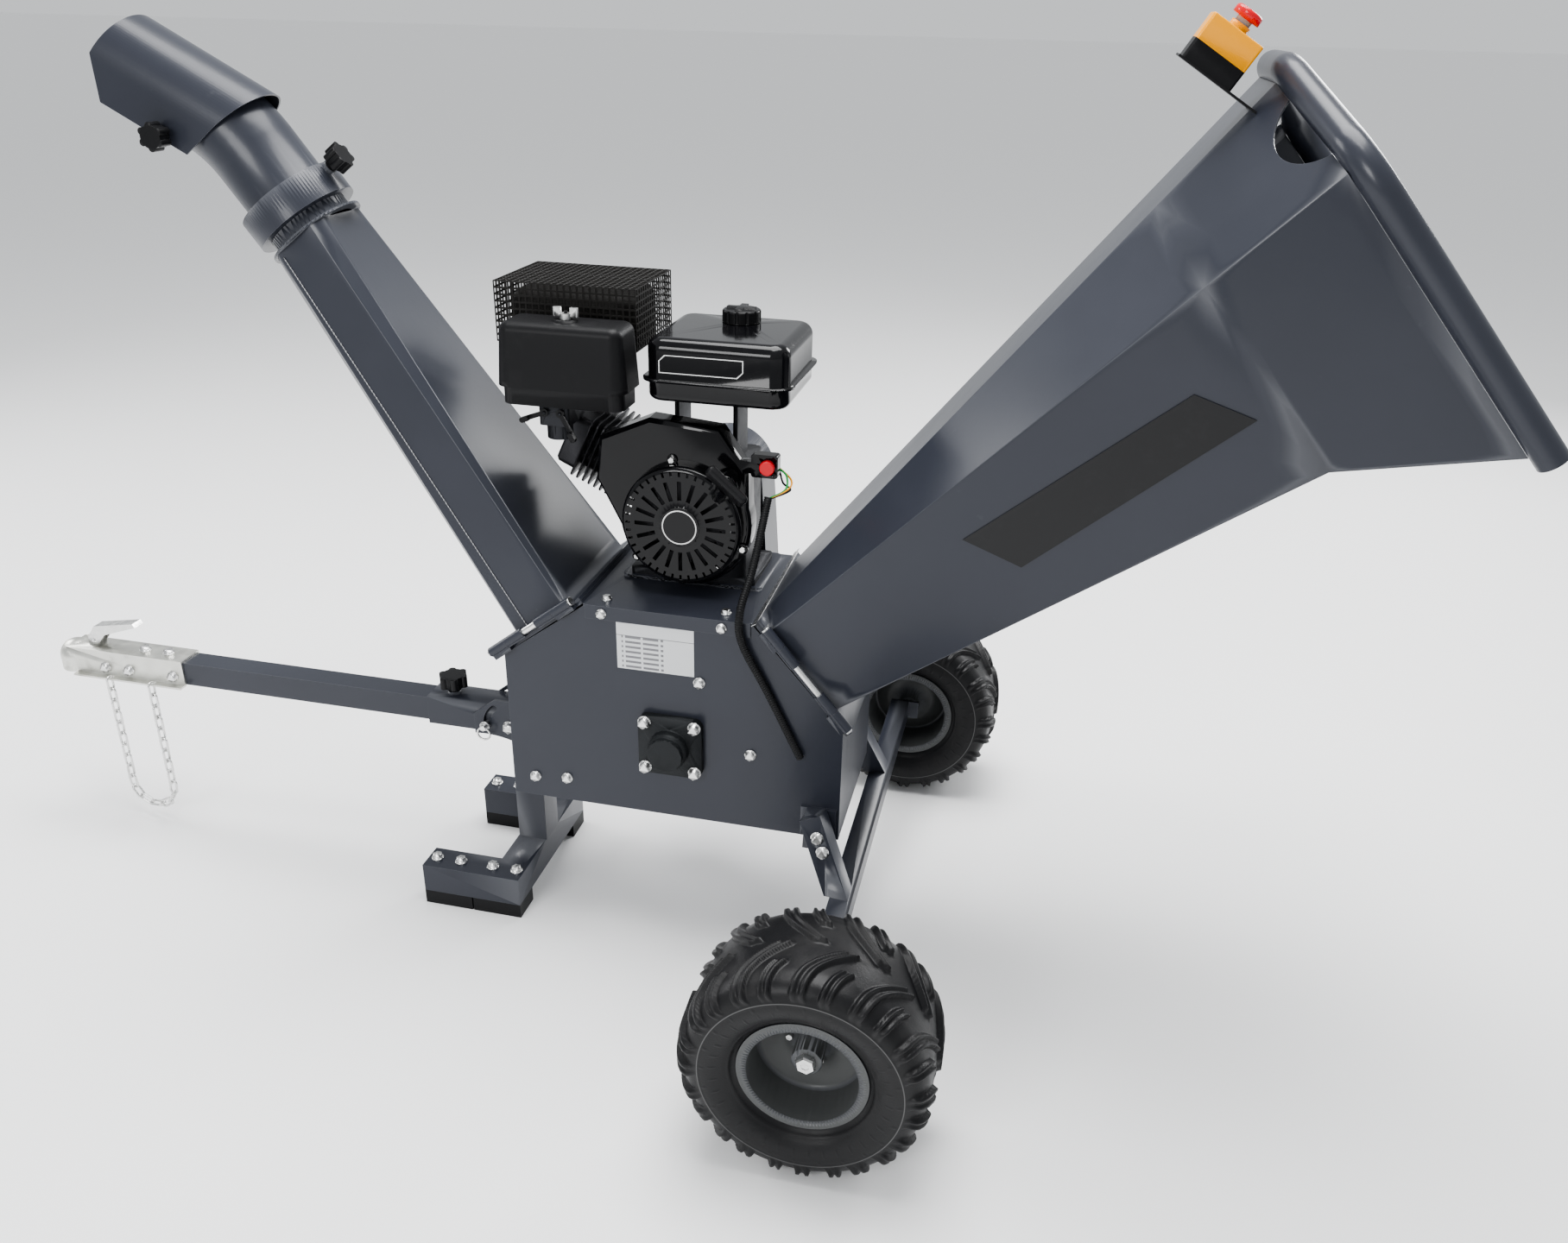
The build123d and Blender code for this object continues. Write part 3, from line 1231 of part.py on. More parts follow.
rim_hole = sweep(rim_plane * Circle(rim_r - rim_t), path=rim_path)
with BuildPart() as hopper_rim_tube:
    add(rim_solid)
    add(rim_hole, mode=Mode.SUBTRACT)
    for side in (-1, 1):
        with BuildSketch(Plane(
            origin=right_face.from_local_coords((rim_low - 3, side * hopper_mouth_half, hopper_l)),
            z_dir=right_face.x_dir,
        )):
            Circle(rim_r - rim_t)
        extrude(amount=3)
hopper_rim_tube.part.label = "hopper_rim_tube"
export_step(hopper_rim_tube.part, "parts/hopper_rim_tube.step")

estop_bracket_l = 84.0
with BuildPart() as estop_box:
    with BuildSketch(estop_plane):
        RectangleRounded(estop_l, estop_w, 4)
    extrude(amount=estop_base_h)
    with BuildSketch(estop_plane):
        with Locations(((estop_bracket_l - 44) / 2, 0)):
            Rectangle(estop_bracket_l + 44, estop_w + 6)
    extrude(amount=-3)
    add(hopper_outer, mode=Mode.SUBTRACT)
estop_box.part.label = "estop_box"
export_step(estop_box.part, "parts/estop_box.step")

with BuildPart() as estop_cover:
    with BuildSketch(estop_plane.offset(estop_base_h)):
        RectangleRounded(estop_l, estop_w, 4)
    extrude(amount=estop_cover_h)
    fillet(estop_cover.faces().sort_by(along(estop_plane))[-1].edges(), 2)
    with BuildSketch(estop_plane.offset(estop_base_h + estop_cover_h)):
        Circle(estop_stem_r + 3)
    extrude(amount=8)
    with BuildSketch(estop_plane.offset(estop_base_h + estop_cover_h + 8)):
        Circle(estop_stem_r + body_gap)
    extrude(amount=-30, mode=Mode.SUBTRACT)
estop_cover.part.label = "estop_cover"
export_step(estop_cover.part, "parts/estop_cover.step")

with BuildPart() as estop_button:
    with BuildSketch(estop_plane.offset(estop_base_h + estop_cover_h - 12)):
        Circle(estop_stem_r)
    extrude(amount=12 + 8 + estop_travel + 1)
    with BuildSketch(estop_plane.offset(estop_base_h + estop_cover_h + 8 + estop_travel + 1)):
        Circle(estop_button_r)
    extrude(amount=12)
    fillet(estop_button.faces().sort_by(along(estop_plane))[-1].edges(), 5)
estop_button.part.label = "estop_button"
export_step(estop_button.part, "parts/estop_button.step")


# ---------------------------------------------------------------- discharge chute
def eight_sided(near_b, far_b, half, chamfer_l):
    """Rectangle with cut corners, from its limits down the slope and its half width."""
    return Polygon(
        (near_b + chamfer_l, -half), (far_b - chamfer_l, -half), (far_b, -half + chamfer_l),
        (far_b, half - chamfer_l), (far_b - chamfer_l, half), (near_b + chamfer_l, half),
        (near_b, half - chamfer_l), (near_b, -half + chamfer_l), align=None,
    )


def chute_solid(inset):
    """Chute outline as a solid, its walls moved inward by inset."""
    base = eight_sided(chute_base_near + inset, chute_base_far - inset, chute_base_half - inset, 8)
    top = eight_sided(chute_top_near + inset, chute_top_far - inset, chute_top_half - inset, chute_chamfer)
    low, high = left_face.offset(hopper_duct_from), left_face.offset(chute_l)
    return loft([low * base, high * top], ruled=True)


chute_outer, chute_inner = chute_solid(0), chute_solid(chute_t)
chute_knuckles = [
    knuckle(left_face, start, 1, hopper_from, hopper_from + flange_t)
    for start, kind in left_slots if kind == "moving"
]
neck_b = (chute_top_near + chute_top_far) / 2


def chute_ring(low, high, outer_r, inner_r):
    """Ring about the chute's neck, between two distances out from the sloping face."""
    plane = left_face.offset(low)
    outline = Pos(neck_b, 0) * Circle(outer_r) - Pos(neck_b, 0) * Circle(inner_r)
    return extrude(plane * outline, amount=high - low)


neck_in_r = elbow_r - elbow_t
chute_rings = [
    chute_ring(chute_l, chute_l + chute_plate_t, ring_r - 1, neck_in_r),
    chute_ring(chute_l, neck_top, elbow_r, neck_in_r),
    chute_ring(ring_low, ring_low + ring_t, ring_r, neck_in_r),
]
with BuildPart() as chute_shell:
    add(chute_outer)
    add(chute_inner, mode=Mode.SUBTRACT)
    with BuildSketch(left_face.offset(hopper_from)):
        with Locations((left_length / 2, 0)):
            Rectangle(left_length, 2 * panel_y)
        with Locations(((outfeed_from + outfeed_to) / 2, 0)):
            Rectangle(outfeed_to - outfeed_from, outfeed_width, mode=Mode.SUBTRACT)
    extrude(amount=flange_t)
    add(chute_knuckles)
    add(chute_rings)
chute_shell.part.label = "chute_shell"
export_step(chute_shell.part, "parts/chute_shell.step")

# ---------------------------------------------------------------- elbow, its collar and its knob
hood_f = (-cos(radians(hood_pitch)), 0, sin(radians(hood_pitch)))
hood_u = (sin(radians(hood_pitch)), 0, cos(radians(hood_pitch)))
hood_pivot = Vector(*at(hood_pivot_x, 0, hood_pivot_z))
elbow_end = hood_pivot + Vector(*hood_u) * hood_axis_up
elbow_start = left_face.from_local_coords((neck_b, 0, neck_top + body_gap))
elbow_dir = left_face.z_dir
# the bend's corner lies where the collar's axis meets the hood's axis
across_dir = Vector(*hood_u)
corner_run = (elbow_end - elbow_start).dot(across_dir) / elbow_dir.dot(across_dir)
elbow_corner = elbow_start + elbow_dir * corner_run
elbow_turn = radians(elbow_dir.get_angle(Vector(*hood_f)))
arc_reach = elbow_bend * tan(elbow_turn / 2)
arc_start = elbow_corner - elbow_dir * arc_reach
arc_end = elbow_corner + Vector(*hood_f) * arc_reach
elbow_path = Wire([
    Edge.make_line(elbow_start, arc_start),
    Edge.make_tangent_arc(arc_start, elbow_dir, arc_end),
    Edge.make_line(arc_end, elbow_end),
])
bore_start, bore_end = elbow_start - elbow_dir * 5, elbow_end + Vector(*hood_f) * 5
bore_path = Wire([
    Edge.make_line(bore_start, arc_start),
    Edge.make_tangent_arc(arc_start, elbow_dir, arc_end),
    Edge.make_line(arc_end, bore_end),
])
elbow_outer = sweep(Plane(origin=elbow_start, z_dir=elbow_dir) * Circle(elbow_r), path=elbow_path)
elbow_inner = sweep(Plane(origin=bore_start, z_dir=elbow_dir) * Circle(neck_in_r), path=bore_path)
collar_r = ring_r + body_gap
collar_rings = [
    chute_ring(collar_low, collar_top, collar_r + collar_wall, collar_r),
    chute_ring(collar_low, ring_low - body_gap, collar_r + collar_wall, elbow_r + body_gap),
    chute_ring(neck_top + body_gap, collar_top, collar_r + collar_wall, neck_in_r),
]
hood_side = Plane(origin=hood_pivot, x_dir=hood_f, z_dir=far)
lug_in, lug_out = elbow_r - 13.0, hood_r - hood_t - body_gap
lug_trim = extrude(Plane(origin=elbow_end, z_dir=hood_f).offset(-40) * Circle(neck_in_r), amount=80)
elbow_lugs = [
    extrude(hood_side.offset(side * (lug_in + lug_out) / 2)
            * (Pos(0, hood_axis_up / 2) * Rectangle(28, hood_axis_up) + Circle(14)),
            amount=(lug_out - lug_in) / 2, both=True) - lug_trim
    for side in (-1, 1)
]
knob_plane = Plane(
    origin=left_face.from_local_coords((neck_b - collar_r - collar_wall, 0, knob_out)),
    z_dir=left_face.x_dir * -1,
)
with BuildPart() as elbow_tube:
    add(elbow_outer)
    add(elbow_lugs)
    add(collar_rings)
    add(elbow_inner, mode=Mode.SUBTRACT)
    with BuildSketch(hood_side):
        Circle(pivot_r + running_gap)
    extrude(amount=hood_r, both=True, mode=Mode.SUBTRACT)
    with BuildSketch(knob_plane.offset(-2)):
        Circle(12)
    extrude(amount=8)
    with BuildSketch(knob_plane.offset(6)):
        Circle(pivot_r + running_gap)
    extrude(amount=-6 - collar_wall - 1, mode=Mode.SUBTRACT)
elbow_tube.part.label = "elbow_tube"
export_step(elbow_tube.part, "parts/elbow_tube.step")


def star_knob(plane, radius, height, screw_r, screw_l):
    """Six-lobed hand knob standing on a plane, with its screw below the plane."""
    outline = Circle(radius * 0.8)
    for k in range(6):
        turn = radians(60 * k)
        outline += Pos(0.74 * radius * cos(turn), 0.74 * radius * sin(turn)) * Circle(radius * 0.26)
    body = extrude(plane.offset(height * 0.3) * outline, amount=height * 0.7)
    body += extrude(plane * Circle(radius * 0.45), amount=height * 0.5)
    return body + extrude(plane * Circle(screw_r), amount=-screw_l)


collar_handle = star_knob(knob_plane.offset(6 + body_gap), 23, 34, pivot_r,
                          6 + body_gap + collar_wall + ring_r - elbow_r)
with BuildPart() as collar_knob:
    add(collar_handle)
collar_knob.part.label = "collar_knob"
export_step(collar_knob.part, "parts/collar_knob.step")

# ---------------------------------------------------------------- deflector hood
hood_section = Plane(origin=hood_pivot, x_dir=near, z_dir=hood_f)
hood_front, hood_rear = 154.0, -109.0
hood_profile = [
    (hood_rear, hood_axis_up + hood_r),
    (hood_front - 14, hood_axis_up + hood_r),
    (hood_front, hood_axis_up + 8),
    (hood_front - 36, -hood_skirt),
    (-46, -hood_skirt),
]
with BuildPart() as deflector_hood:
    with BuildSketch(hood_section.offset(hood_rear)):
        with Locations((0, hood_axis_up)):
            Circle(hood_r)
        with Locations((0, (hood_axis_up - hood_skirt) / 2)):
            Rectangle(2 * hood_r, hood_axis_up + hood_skirt)
        with Locations((0, hood_axis_up)):
            Circle(hood_r - hood_t, mode=Mode.SUBTRACT)
        with Locations((0, hood_axis_up / 2 - hood_r)):
            Rectangle(2 * (hood_r - hood_t), hood_axis_up + 2 * hood_r, mode=Mode.SUBTRACT)
    extrude(amount=hood_front - hood_rear)
    with BuildSketch(hood_side.offset(-hood_r)):
        Polygon(*hood_profile, align=None)
    extrude(amount=2 * hood_r, mode=Mode.INTERSECT)
    with BuildSketch(hood_side.offset(-hood_r)):
        Circle(pivot_r + running_gap)
    extrude(amount=hood_t, mode=Mode.SUBTRACT)
    with BuildSketch(hood_side.offset(hood_r + 4)):
        Circle(pivot_r)
    extrude(amount=-4 - hood_r + lug_in + 2)
    with BuildSketch(hood_side.offset(hood_r)):
        RegularPolygon(8.5, 6)
    extrude(amount=6)
deflector_hood.part.label = "deflector_hood"
export_step(deflector_hood.part, "parts/deflector_hood.step")

hood_knob_plane = Plane(origin=hood_side.from_local_coords((0, 0, -hood_r - body_gap)), z_dir=near)
hood_handle = star_knob(hood_knob_plane, 23, 34, pivot_r, hood_r + body_gap - lug_in - 2)
with BuildPart() as deflector_knob:
    add(hood_handle)
deflector_knob.part.label = "deflector_knob"
export_step(deflector_knob.part, "parts/deflector_knob.step")

# ---------------------------------------------------------------- tow bar
knob_x = -502.0
bail_r = 13.0
sleeve_bar = square_tube((sleeve_front, 0, tow_z), (sleeve_rear, 0, tow_z), sleeve_a, sleeve_t, up)
sleeve_bores = [
    rod((tow_pivot_x, -sleeve_a, tow_pivot_z), (tow_pivot_x, sleeve_a, tow_pivot_z), lock_pin_r + running_gap),
    rod((lock_pin_x, -sleeve_a, tow_pivot_z), (lock_pin_x, sleeve_a, tow_pivot_z), lock_pin_r + running_gap),
    rod((knob_x, 0, tow_z), (knob_x, 0, tow_z + sleeve_a), pivot_r + running_gap),
]
sleeve_boss = rod((knob_x, 0, tow_z + sleeve_a / 2 - 1), (knob_x, 0, tow_z + sleeve_a / 2 + 6), 13)
with BuildPart() as tow_sleeve:
    add(sleeve_bar)
    add(sleeve_boss)
    add(sleeve_bores, mode=Mode.SUBTRACT)
tow_sleeve.part.label = "tow_sleeve"
export_step(tow_sleeve.part, "parts/tow_sleeve.step")

sleeve_top = tow_z + sleeve_a / 2 + 6
tow_handle = star_knob(frame_at(knob_x, 0, sleeve_top + body_gap, up), 29, 34, pivot_r,
                       sleeve_top + body_gap - tow_z - tube_a / 2 - seat_gap)
with BuildPart() as tow_knob:
    add(tow_handle)
tow_knob.part.label = "tow_knob"
export_step(tow_knob.part, "parts/tow_knob.step")

pin_end = bracket_y + bracket_t + 20
lock_pieces = [
    rod((lock_pin_x, -pin_end, tow_pivot_z), (lock_pin_x, pin_end - 10, tow_pivot_z), lock_pin_r),
    rod((lock_pin_x, -pin_end + 9, tow_pivot_z), (lock_pin_x, -pin_end + 13, tow_pivot_z), lock_pin_r + 4),
    Pos(*at(lock_pin_x, -pin_end + 4, tow_pivot_z - bail_r)) * Rot(90, 0, 0) * Torus(bail_r, 2),
]
with BuildPart() as lock_pin:
    add(lock_pieces)
lock_pin.part.label = "lock_pin"
export_step(lock_pin.part, "parts/lock_pin.step")

side_bolt_xs, side_bolt_z = (-1286.0, -1230.0, -1126.0), 355.0
top_bolt_xs = (-1206.0, -1150.0)
tube_bar = square_tube((tube_front, 0, tow_z), (tube_rear, 0, tow_z), tube_a, tube_t, up)
coupler_bores = [
    rod((x, -lip_half, side_bolt_z), (x, lip_half, side_bolt_z), shank_r + hole_play) for x in side_bolt_xs
]
coupler_bores += [
    rod((x, 0, tow_z), (x, 0, tow_z + sleeve_a), shank_r + hole_play) for x in top_bolt_xs
]
with BuildPart() as tow_tube:
    add(tube_bar)
    add(coupler_bores, mode=Mode.SUBTRACT)
tow_tube.part.label = "tow_tube"
export_step(tow_tube.part, "parts/tow_tube.step")

# ---------------------------------------------------------------- coupler and latch
channel_in = tube_a / 2 + seat_gap
channel_half = channel_in + coupler_t
channel_ceiling = tow_z + tube_a / 2 + seat_gap
channel_top = channel_ceiling + coupler_t
latch_pin_r = 4.0
ear_half = 9.5
coupler_body = [
    block((ball_x, -channel_half, coupler_bottom), (coupler_rear, channel_half, channel_top)),
    block((ball_x + 20, -lip_half, coupler_bottom), (coupler_rear, lip_half, coupler_bottom + coupler_t)),
    rod((ball_x, 0, coupler_bottom), (ball_x, 0, tow_z), coupler_head_r),
    Pos(*at(ball_x, 0, tow_z)) * Sphere(coupler_head_r),
    block((latch_x - 15, -ear_half, channel_top - 1), (latch_x + 14, ear_half, latch_z + 9)),
]
coupler_hollow = [
    block((ball_x - 2 * socket_r, -2 * socket_r, 0), (ball_x + 2 * socket_r, 2 * socket_r, coupler_bottom)),
    block((ball_x + coupler_head_r, -channel_in, coupler_bottom - 1),
          (coupler_rear + 1, channel_in, channel_ceiling)),
    rod((ball_x, 0, coupler_bottom - 1), (ball_x, 0, tow_z), socket_r),
    Pos(*at(ball_x, 0, tow_z)) * Sphere(socket_r),
    rod((latch_x, -20, latch_z), (latch_x, 20, latch_z), latch_pin_r + running_gap),
]
link_pitch = link_in_l - link_gap
bend_tilt = radians(90 / bend_links)
link_l = link_in_l + 2 * link_wire_r
bend_pitch = link_l * cos(bend_tilt) - 2 * link_wire_r - link_gap
bend_r = bend_pitch / (2 * sin(bend_tilt))
for side in (-1, 1):
    hole_x = chain_x + side * bend_r
    coupler_hollow.append(rod((hole_x, chain_hole_y, coupler_bottom - 1),
                              (hole_x, chain_hole_y, coupler_bottom + coupler_t + 1), chain_hole_r))
with BuildPart() as coupler:
    add(coupler_body)
    add(coupler_hollow, mode=Mode.SUBTRACT)
    add(coupler_bores, mode=Mode.SUBTRACT)
coupler.part.label = "coupler"
export_step(coupler.part, "parts/coupler.step")

latch_in, latch_out = ear_half + body_gap, ear_half + body_gap + 3
latch_side = Plane(origin=at(latch_x, 0, latch_z), x_dir=(1, 0, 0), z_dir=near)
with BuildPart() as coupler_latch:
    with BuildSketch(latch_side.offset(-latch_out)):
        Polygon((-12, -5), (-12, 6), (8, 34), (104, 51), (109, 43), (30, 16), (12, -5), align=None)
    extrude(amount=2 * latch_out)
    with BuildSketch(latch_side.offset(-latch_in)):
        Polygon((-20, -12), (-20, 20), (2, 30), (100, 47), (120, 30), (30, -12), align=None)
    extrude(amount=2 * latch_in, mode=Mode.SUBTRACT)
    with BuildSketch(latch_side.offset(-latch_out - 3)):
        Circle(latch_pin_r)
    extrude(amount=2 * latch_out + 6)
coupler_latch.part.label = "coupler_latch"
export_step(coupler_latch.part, "parts/coupler_latch.step")

clamp_bolts = []
for x in side_bolt_xs:
    for side in (-1, 1):
        clamp_bolts.append(hex_bolt(frame_at(x, side * channel_half, side_bolt_z, (0, side, 0)), 17, 7))
    clamp_bolts.append(rod((x, -channel_half, side_bolt_z), (x, channel_half, side_bolt_z), shank_r))
for x in top_bolt_xs:
    clamp_bolts.append(hex_bolt(frame_at(x, 0, channel_top, up), 17, 7, coupler_t + seat_gap + tube_t))
with BuildPart() as coupler_bolts:
    add(clamp_bolts)
coupler_bolts.part.label = "coupler_bolts"
export_step(coupler_bolts.part, "parts/coupler_bolts.step")

# ---------------------------------------------------------------- safety chain
top_link_z = coupler_bottom + coupler_t + link_gap + link_lift - link_in_l / 2
bend_z = top_link_z - leg_links * link_pitch
centres = [(chain_x - bend_r, top_link_z - k * link_pitch) for k in range(leg_links)]
for k in range(bend_links + 1):
    turn = radians(180 + 180 * k / bend_links)
    centres.append((chain_x + bend_r * cos(turn), bend_z + bend_r * sin(turn)))
centres += [(chain_x + bend_r, bend_z + (k + 1) * link_pitch) for k in range(leg_links)]
links = []
for k, (x, z) in enumerate(centres):
    before, after = centres[max(k - 1, 0)], centres[min(k + 1, len(centres) - 1)]
    run = Vector(after[0] - before[0], 0, after[1] - before[1]).normalized()
    normal = Vector(0, 1, 0) if k % 2 else run.cross(Vector(0, 1, 0))
    link_plane = Plane(origin=at(x, chain_y, z), x_dir=run, z_dir=normal)
    loop = link_plane * SlotCenterToCenter(link_in_l - link_in_w, link_in_w + 2 * link_wire_r)
    path = loop.wire()
    links.append(sweep(Plane(origin=path @ 0, z_dir=path % 0) * Circle(link_wire_r), path=path))
with BuildPart() as safety_chain:
    add(links)
safety_chain.part.label = "safety_chain"
export_step(safety_chain.part, "parts/safety_chain.step")

# ---------------------------------------------------------------- wheels
barrel_r = rim_lip_r - 13.0
rim_wall = 3.0
half_rim = rim_w / 2
bead = half_rim - rim_wall - seat_gap
rim_outline = [
    (-half_rim, rim_lip_r), (-half_rim, barrel_r - rim_wall), (half_rim, barrel_r - rim_wall),
    (half_rim, rim_lip_r), (half_rim - rim_wall, rim_lip_r), (half_rim - rim_wall, barrel_r),
    (-half_rim + rim_wall, barrel_r), (-half_rim + rim_wall, rim_lip_r),
]
dish_outline = [
    (-8, hub_r - 1), (-8, 48), (10, barrel_r - rim_wall + 1),
    (14, barrel_r - rim_wall + 1), (-3, 46), (-3, hub_r - 1),
]
tyre_outline = [
    (bead - 13, barrel_r + seat_gap), (bead, barrel_r + seat_gap), (bead, rim_lip_r + 2),
    (bead + 10, rim_lip_r + 8), (tyre_w / 2 - 2, 134), (tyre_w / 2, 150), (tyre_w / 2 - 2, 166),
    (tyre_w / 2 - 12, 186), (tyre_w / 2 - 28, 195), (tyre_w / 4, tyre_r - 1), (0, tyre_r),
]
cavity_outline = [
    (bead - 13, barrel_r + seat_gap), (bead - 6, rim_lip_r + 8), (tyre_w / 2 - 13, 134),
    (tyre_w / 2 - 10, 150), (tyre_w / 2 - 14, 166), (tyre_w / 2 - 24, 178), (tyre_w / 4, 186), (0, 187),
]


def wheel_plane(side):
    """Plane through a wheel's axis: local x points outboard along Y, local y points up."""
    return Plane(origin=at(wheel_x, side * track / 2, tyre_r), x_dir=(0, side, 0), z_dir=(side, 0, 0))


def turned(plane, *outlines):
    """Outlines turned about the plane's local x axis."""
    shape = Sketch() + [Polygon(*points, align=None) for points in outlines]
    return revolve(plane * shape, axis=Axis(plane.origin, plane.x_dir))


for side, word in ((-1, "near"), (1, "far")):
    plane = wheel_plane(side)
    hub_outline = [(-42, 0), (-42, hub_r), (42, hub_r), (42, 0)]
    bore_outline = [(-60, 0), (-60, spindle_r + running_gap), (34, spindle_r + running_gap), (34, 0)]
    rim_solid_of = turned(plane, rim_outline) + turned(plane, dish_outline) + turned(plane, hub_outline)
    rim_solid_of -= turned(plane, bore_outline)
    with BuildPart() as rim:
        add(rim_solid_of)
    rim.part.label = f"rim_{word}"
    export_step(rim.part, f"parts/rim_{word}.step")
    whole = tyre_outline + [(-x, r) for x, r in reversed(tyre_outline[:-1])]
    cavity = cavity_outline + [(-x, r) for x, r in reversed(cavity_outline[:-1])]
    tyre_solid = turned(plane, whole) - turned(plane, cavity)
    with BuildPart() as tyre:
        add(tyre_solid)
    tyre.part.label = f"tyre_{word}"
    export_step(tyre.part, f"parts/tyre_{word}.step")
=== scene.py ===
# %% [markdown]
# A towed wood chipper, finished in Blender around its CAD frame.
# The CAD gives every plate, tube and bolt its true place. This file gives them their
# surfaces: gloss grey paint, bare zinc, rubber with tread, wire mesh, cast metal.
# %% Load the frame
import json
import math

import bmesh
import bpy
import numpy as np
from mathutils import Matrix, Vector

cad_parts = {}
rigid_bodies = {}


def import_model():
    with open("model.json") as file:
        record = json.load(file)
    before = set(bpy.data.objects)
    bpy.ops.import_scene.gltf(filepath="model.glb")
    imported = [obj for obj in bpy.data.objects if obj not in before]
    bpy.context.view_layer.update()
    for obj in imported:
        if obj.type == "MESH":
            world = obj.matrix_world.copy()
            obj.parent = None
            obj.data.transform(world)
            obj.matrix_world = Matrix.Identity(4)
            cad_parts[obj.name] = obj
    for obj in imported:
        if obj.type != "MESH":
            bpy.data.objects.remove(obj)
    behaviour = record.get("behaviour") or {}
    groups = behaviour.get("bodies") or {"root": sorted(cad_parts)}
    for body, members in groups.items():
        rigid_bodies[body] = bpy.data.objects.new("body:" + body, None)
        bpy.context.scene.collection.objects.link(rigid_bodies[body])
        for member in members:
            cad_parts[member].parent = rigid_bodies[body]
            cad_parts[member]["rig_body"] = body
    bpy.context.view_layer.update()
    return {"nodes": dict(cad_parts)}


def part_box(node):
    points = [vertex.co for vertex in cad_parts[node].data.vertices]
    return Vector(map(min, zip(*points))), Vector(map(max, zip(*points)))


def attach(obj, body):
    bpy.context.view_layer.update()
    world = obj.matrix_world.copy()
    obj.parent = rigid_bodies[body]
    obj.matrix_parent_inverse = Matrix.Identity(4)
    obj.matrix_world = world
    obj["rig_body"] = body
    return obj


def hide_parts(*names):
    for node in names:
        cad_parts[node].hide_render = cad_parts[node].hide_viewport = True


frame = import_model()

nodes = frame["nodes"]

# %% [markdown]
# The camera stands a little above the machine, on the starter side, and looks down at it.
# Its direction is built from three turns: a heading, a downward pitch and a small roll.
# A camera looks along its own -Z, so the matrix columns are right, up and backward.
# %% Camera
ROTOR_X = 0.0852                    # rotor axis along X, in metres
LENS_MM, SENSOR_MM = 28.923, 36.0
EYE = Vector((ROTOR_X + 0.606, -2.004, 1.625))
HEADING, PITCH, ROLL = (math.radians(v) for v in (12.37, 25.77, -1.34))
look = Vector((-math.sin(HEADING) * math.cos(PITCH), math.cos(HEADING) * math.cos(PITCH), -math.sin(PITCH)))
level_right = Vector((math.cos(HEADING), math.sin(HEADING), 0))
level_up = level_right.cross(look)
right = level_right * math.cos(ROLL) - level_up * math.sin(ROLL)
above = level_right * math.sin(ROLL) + level_up * math.cos(ROLL)
camera = bpy.data.objects.new("camera", bpy.data.cameras.new("camera"))
camera.data.lens, camera.data.sensor_width = LENS_MM, SENSOR_MM
camera.matrix_world = Matrix((
    (right.x, above.x, -look.x, EYE.x),
    (right.y, above.y, -look.y, EYE.y),
    (right.z, above.z, -look.z, EYE.z),
    (0, 0, 0, 1)))
bpy.context.scene.collection.objects.link(camera)
bpy.context.scene.camera = camera
print("camera lens", round(camera.data.lens, 2))

# %% [markdown]
# Gloss paint shows its shape by what it reflects, so the lights are large soft panels.
# One broad panel hangs overhead, one stands by the camera and two smaller ones light the
# left and the back. The floor runs far past the machine, and a pale sky fills the shadows.
# %% Floor and lights
def light_panel(name, place, target, size, power):
    """A square area light at place that faces target."""
    lamp = bpy.data.lights.new(name, "AREA")
    lamp.shape, lamp.size, lamp.energy = "SQUARE", size, power
    holder = bpy.data.objects.new(name, lamp)
    aim = (Vector(target) - Vector(place)).to_track_quat("-Z", "Y")
    holder.matrix_world = Matrix.Translation(place) @ aim.to_matrix().to_4x4()
    bpy.context.scene.collection.objects.link(holder)


light_panel("overhead", (0.3, 0.4, 4.6), (0, 0, 0.5), 3.0, 260)
light_panel("front", (-1.2, -4.2, 2.6), (0, 0, 0.8), 1.6, 80)
light_panel("left_rim", (-4.2, 0.8, 2.4), (-0.2, 0, 0.8), 1.6, 60)
light_panel("back_rim", (2.6, 3.8, 2.6), (0.3, 0, 0.8), 1.6, 80)
bpy.context.scene.view_settings.look = "AgX - Medium High Contrast"
SKY_COLOR, SKY_STRENGTH = (0.9, 0.92, 0.94, 1), 0.7
world = bpy.data.worlds.new("studio")
bpy.context.scene.world = world
world.use_nodes = True
sky = world.node_tree.nodes["Background"].inputs
sky["Color"].default_value, sky["Strength"].default_value = SKY_COLOR, SKY_STRENGTH
FLOOR_HALF, FLOOR_DROP = 120.0, 0.0005
floor_mesh = bpy.data.meshes.new("floor")
floor_mesh.from_pydata([(-FLOOR_HALF, -FLOOR_HALF, 0), (FLOOR_HALF, -FLOOR_HALF, 0),
                        (FLOOR_HALF, FLOOR_HALF, 0), (-FLOOR_HALF, FLOOR_HALF, 0)], [], [(0, 1, 2, 3)])
floor = bpy.data.objects.new("floor", floor_mesh)
floor.location.z = -FLOOR_DROP
floor_paint = bpy.data.materials.new("floor_paint")
floor_paint.use_nodes = True
floor_shader = floor_paint.node_tree.nodes["Principled BSDF"].inputs
floor_shader["Base Color"].default_value = (0.93, 0.93, 0.93, 1)
floor_shader["Roughness"].default_value = 0.7
floor_mesh.materials.append(floor_paint)
bpy.context.scene.collection.objects.link(floor)

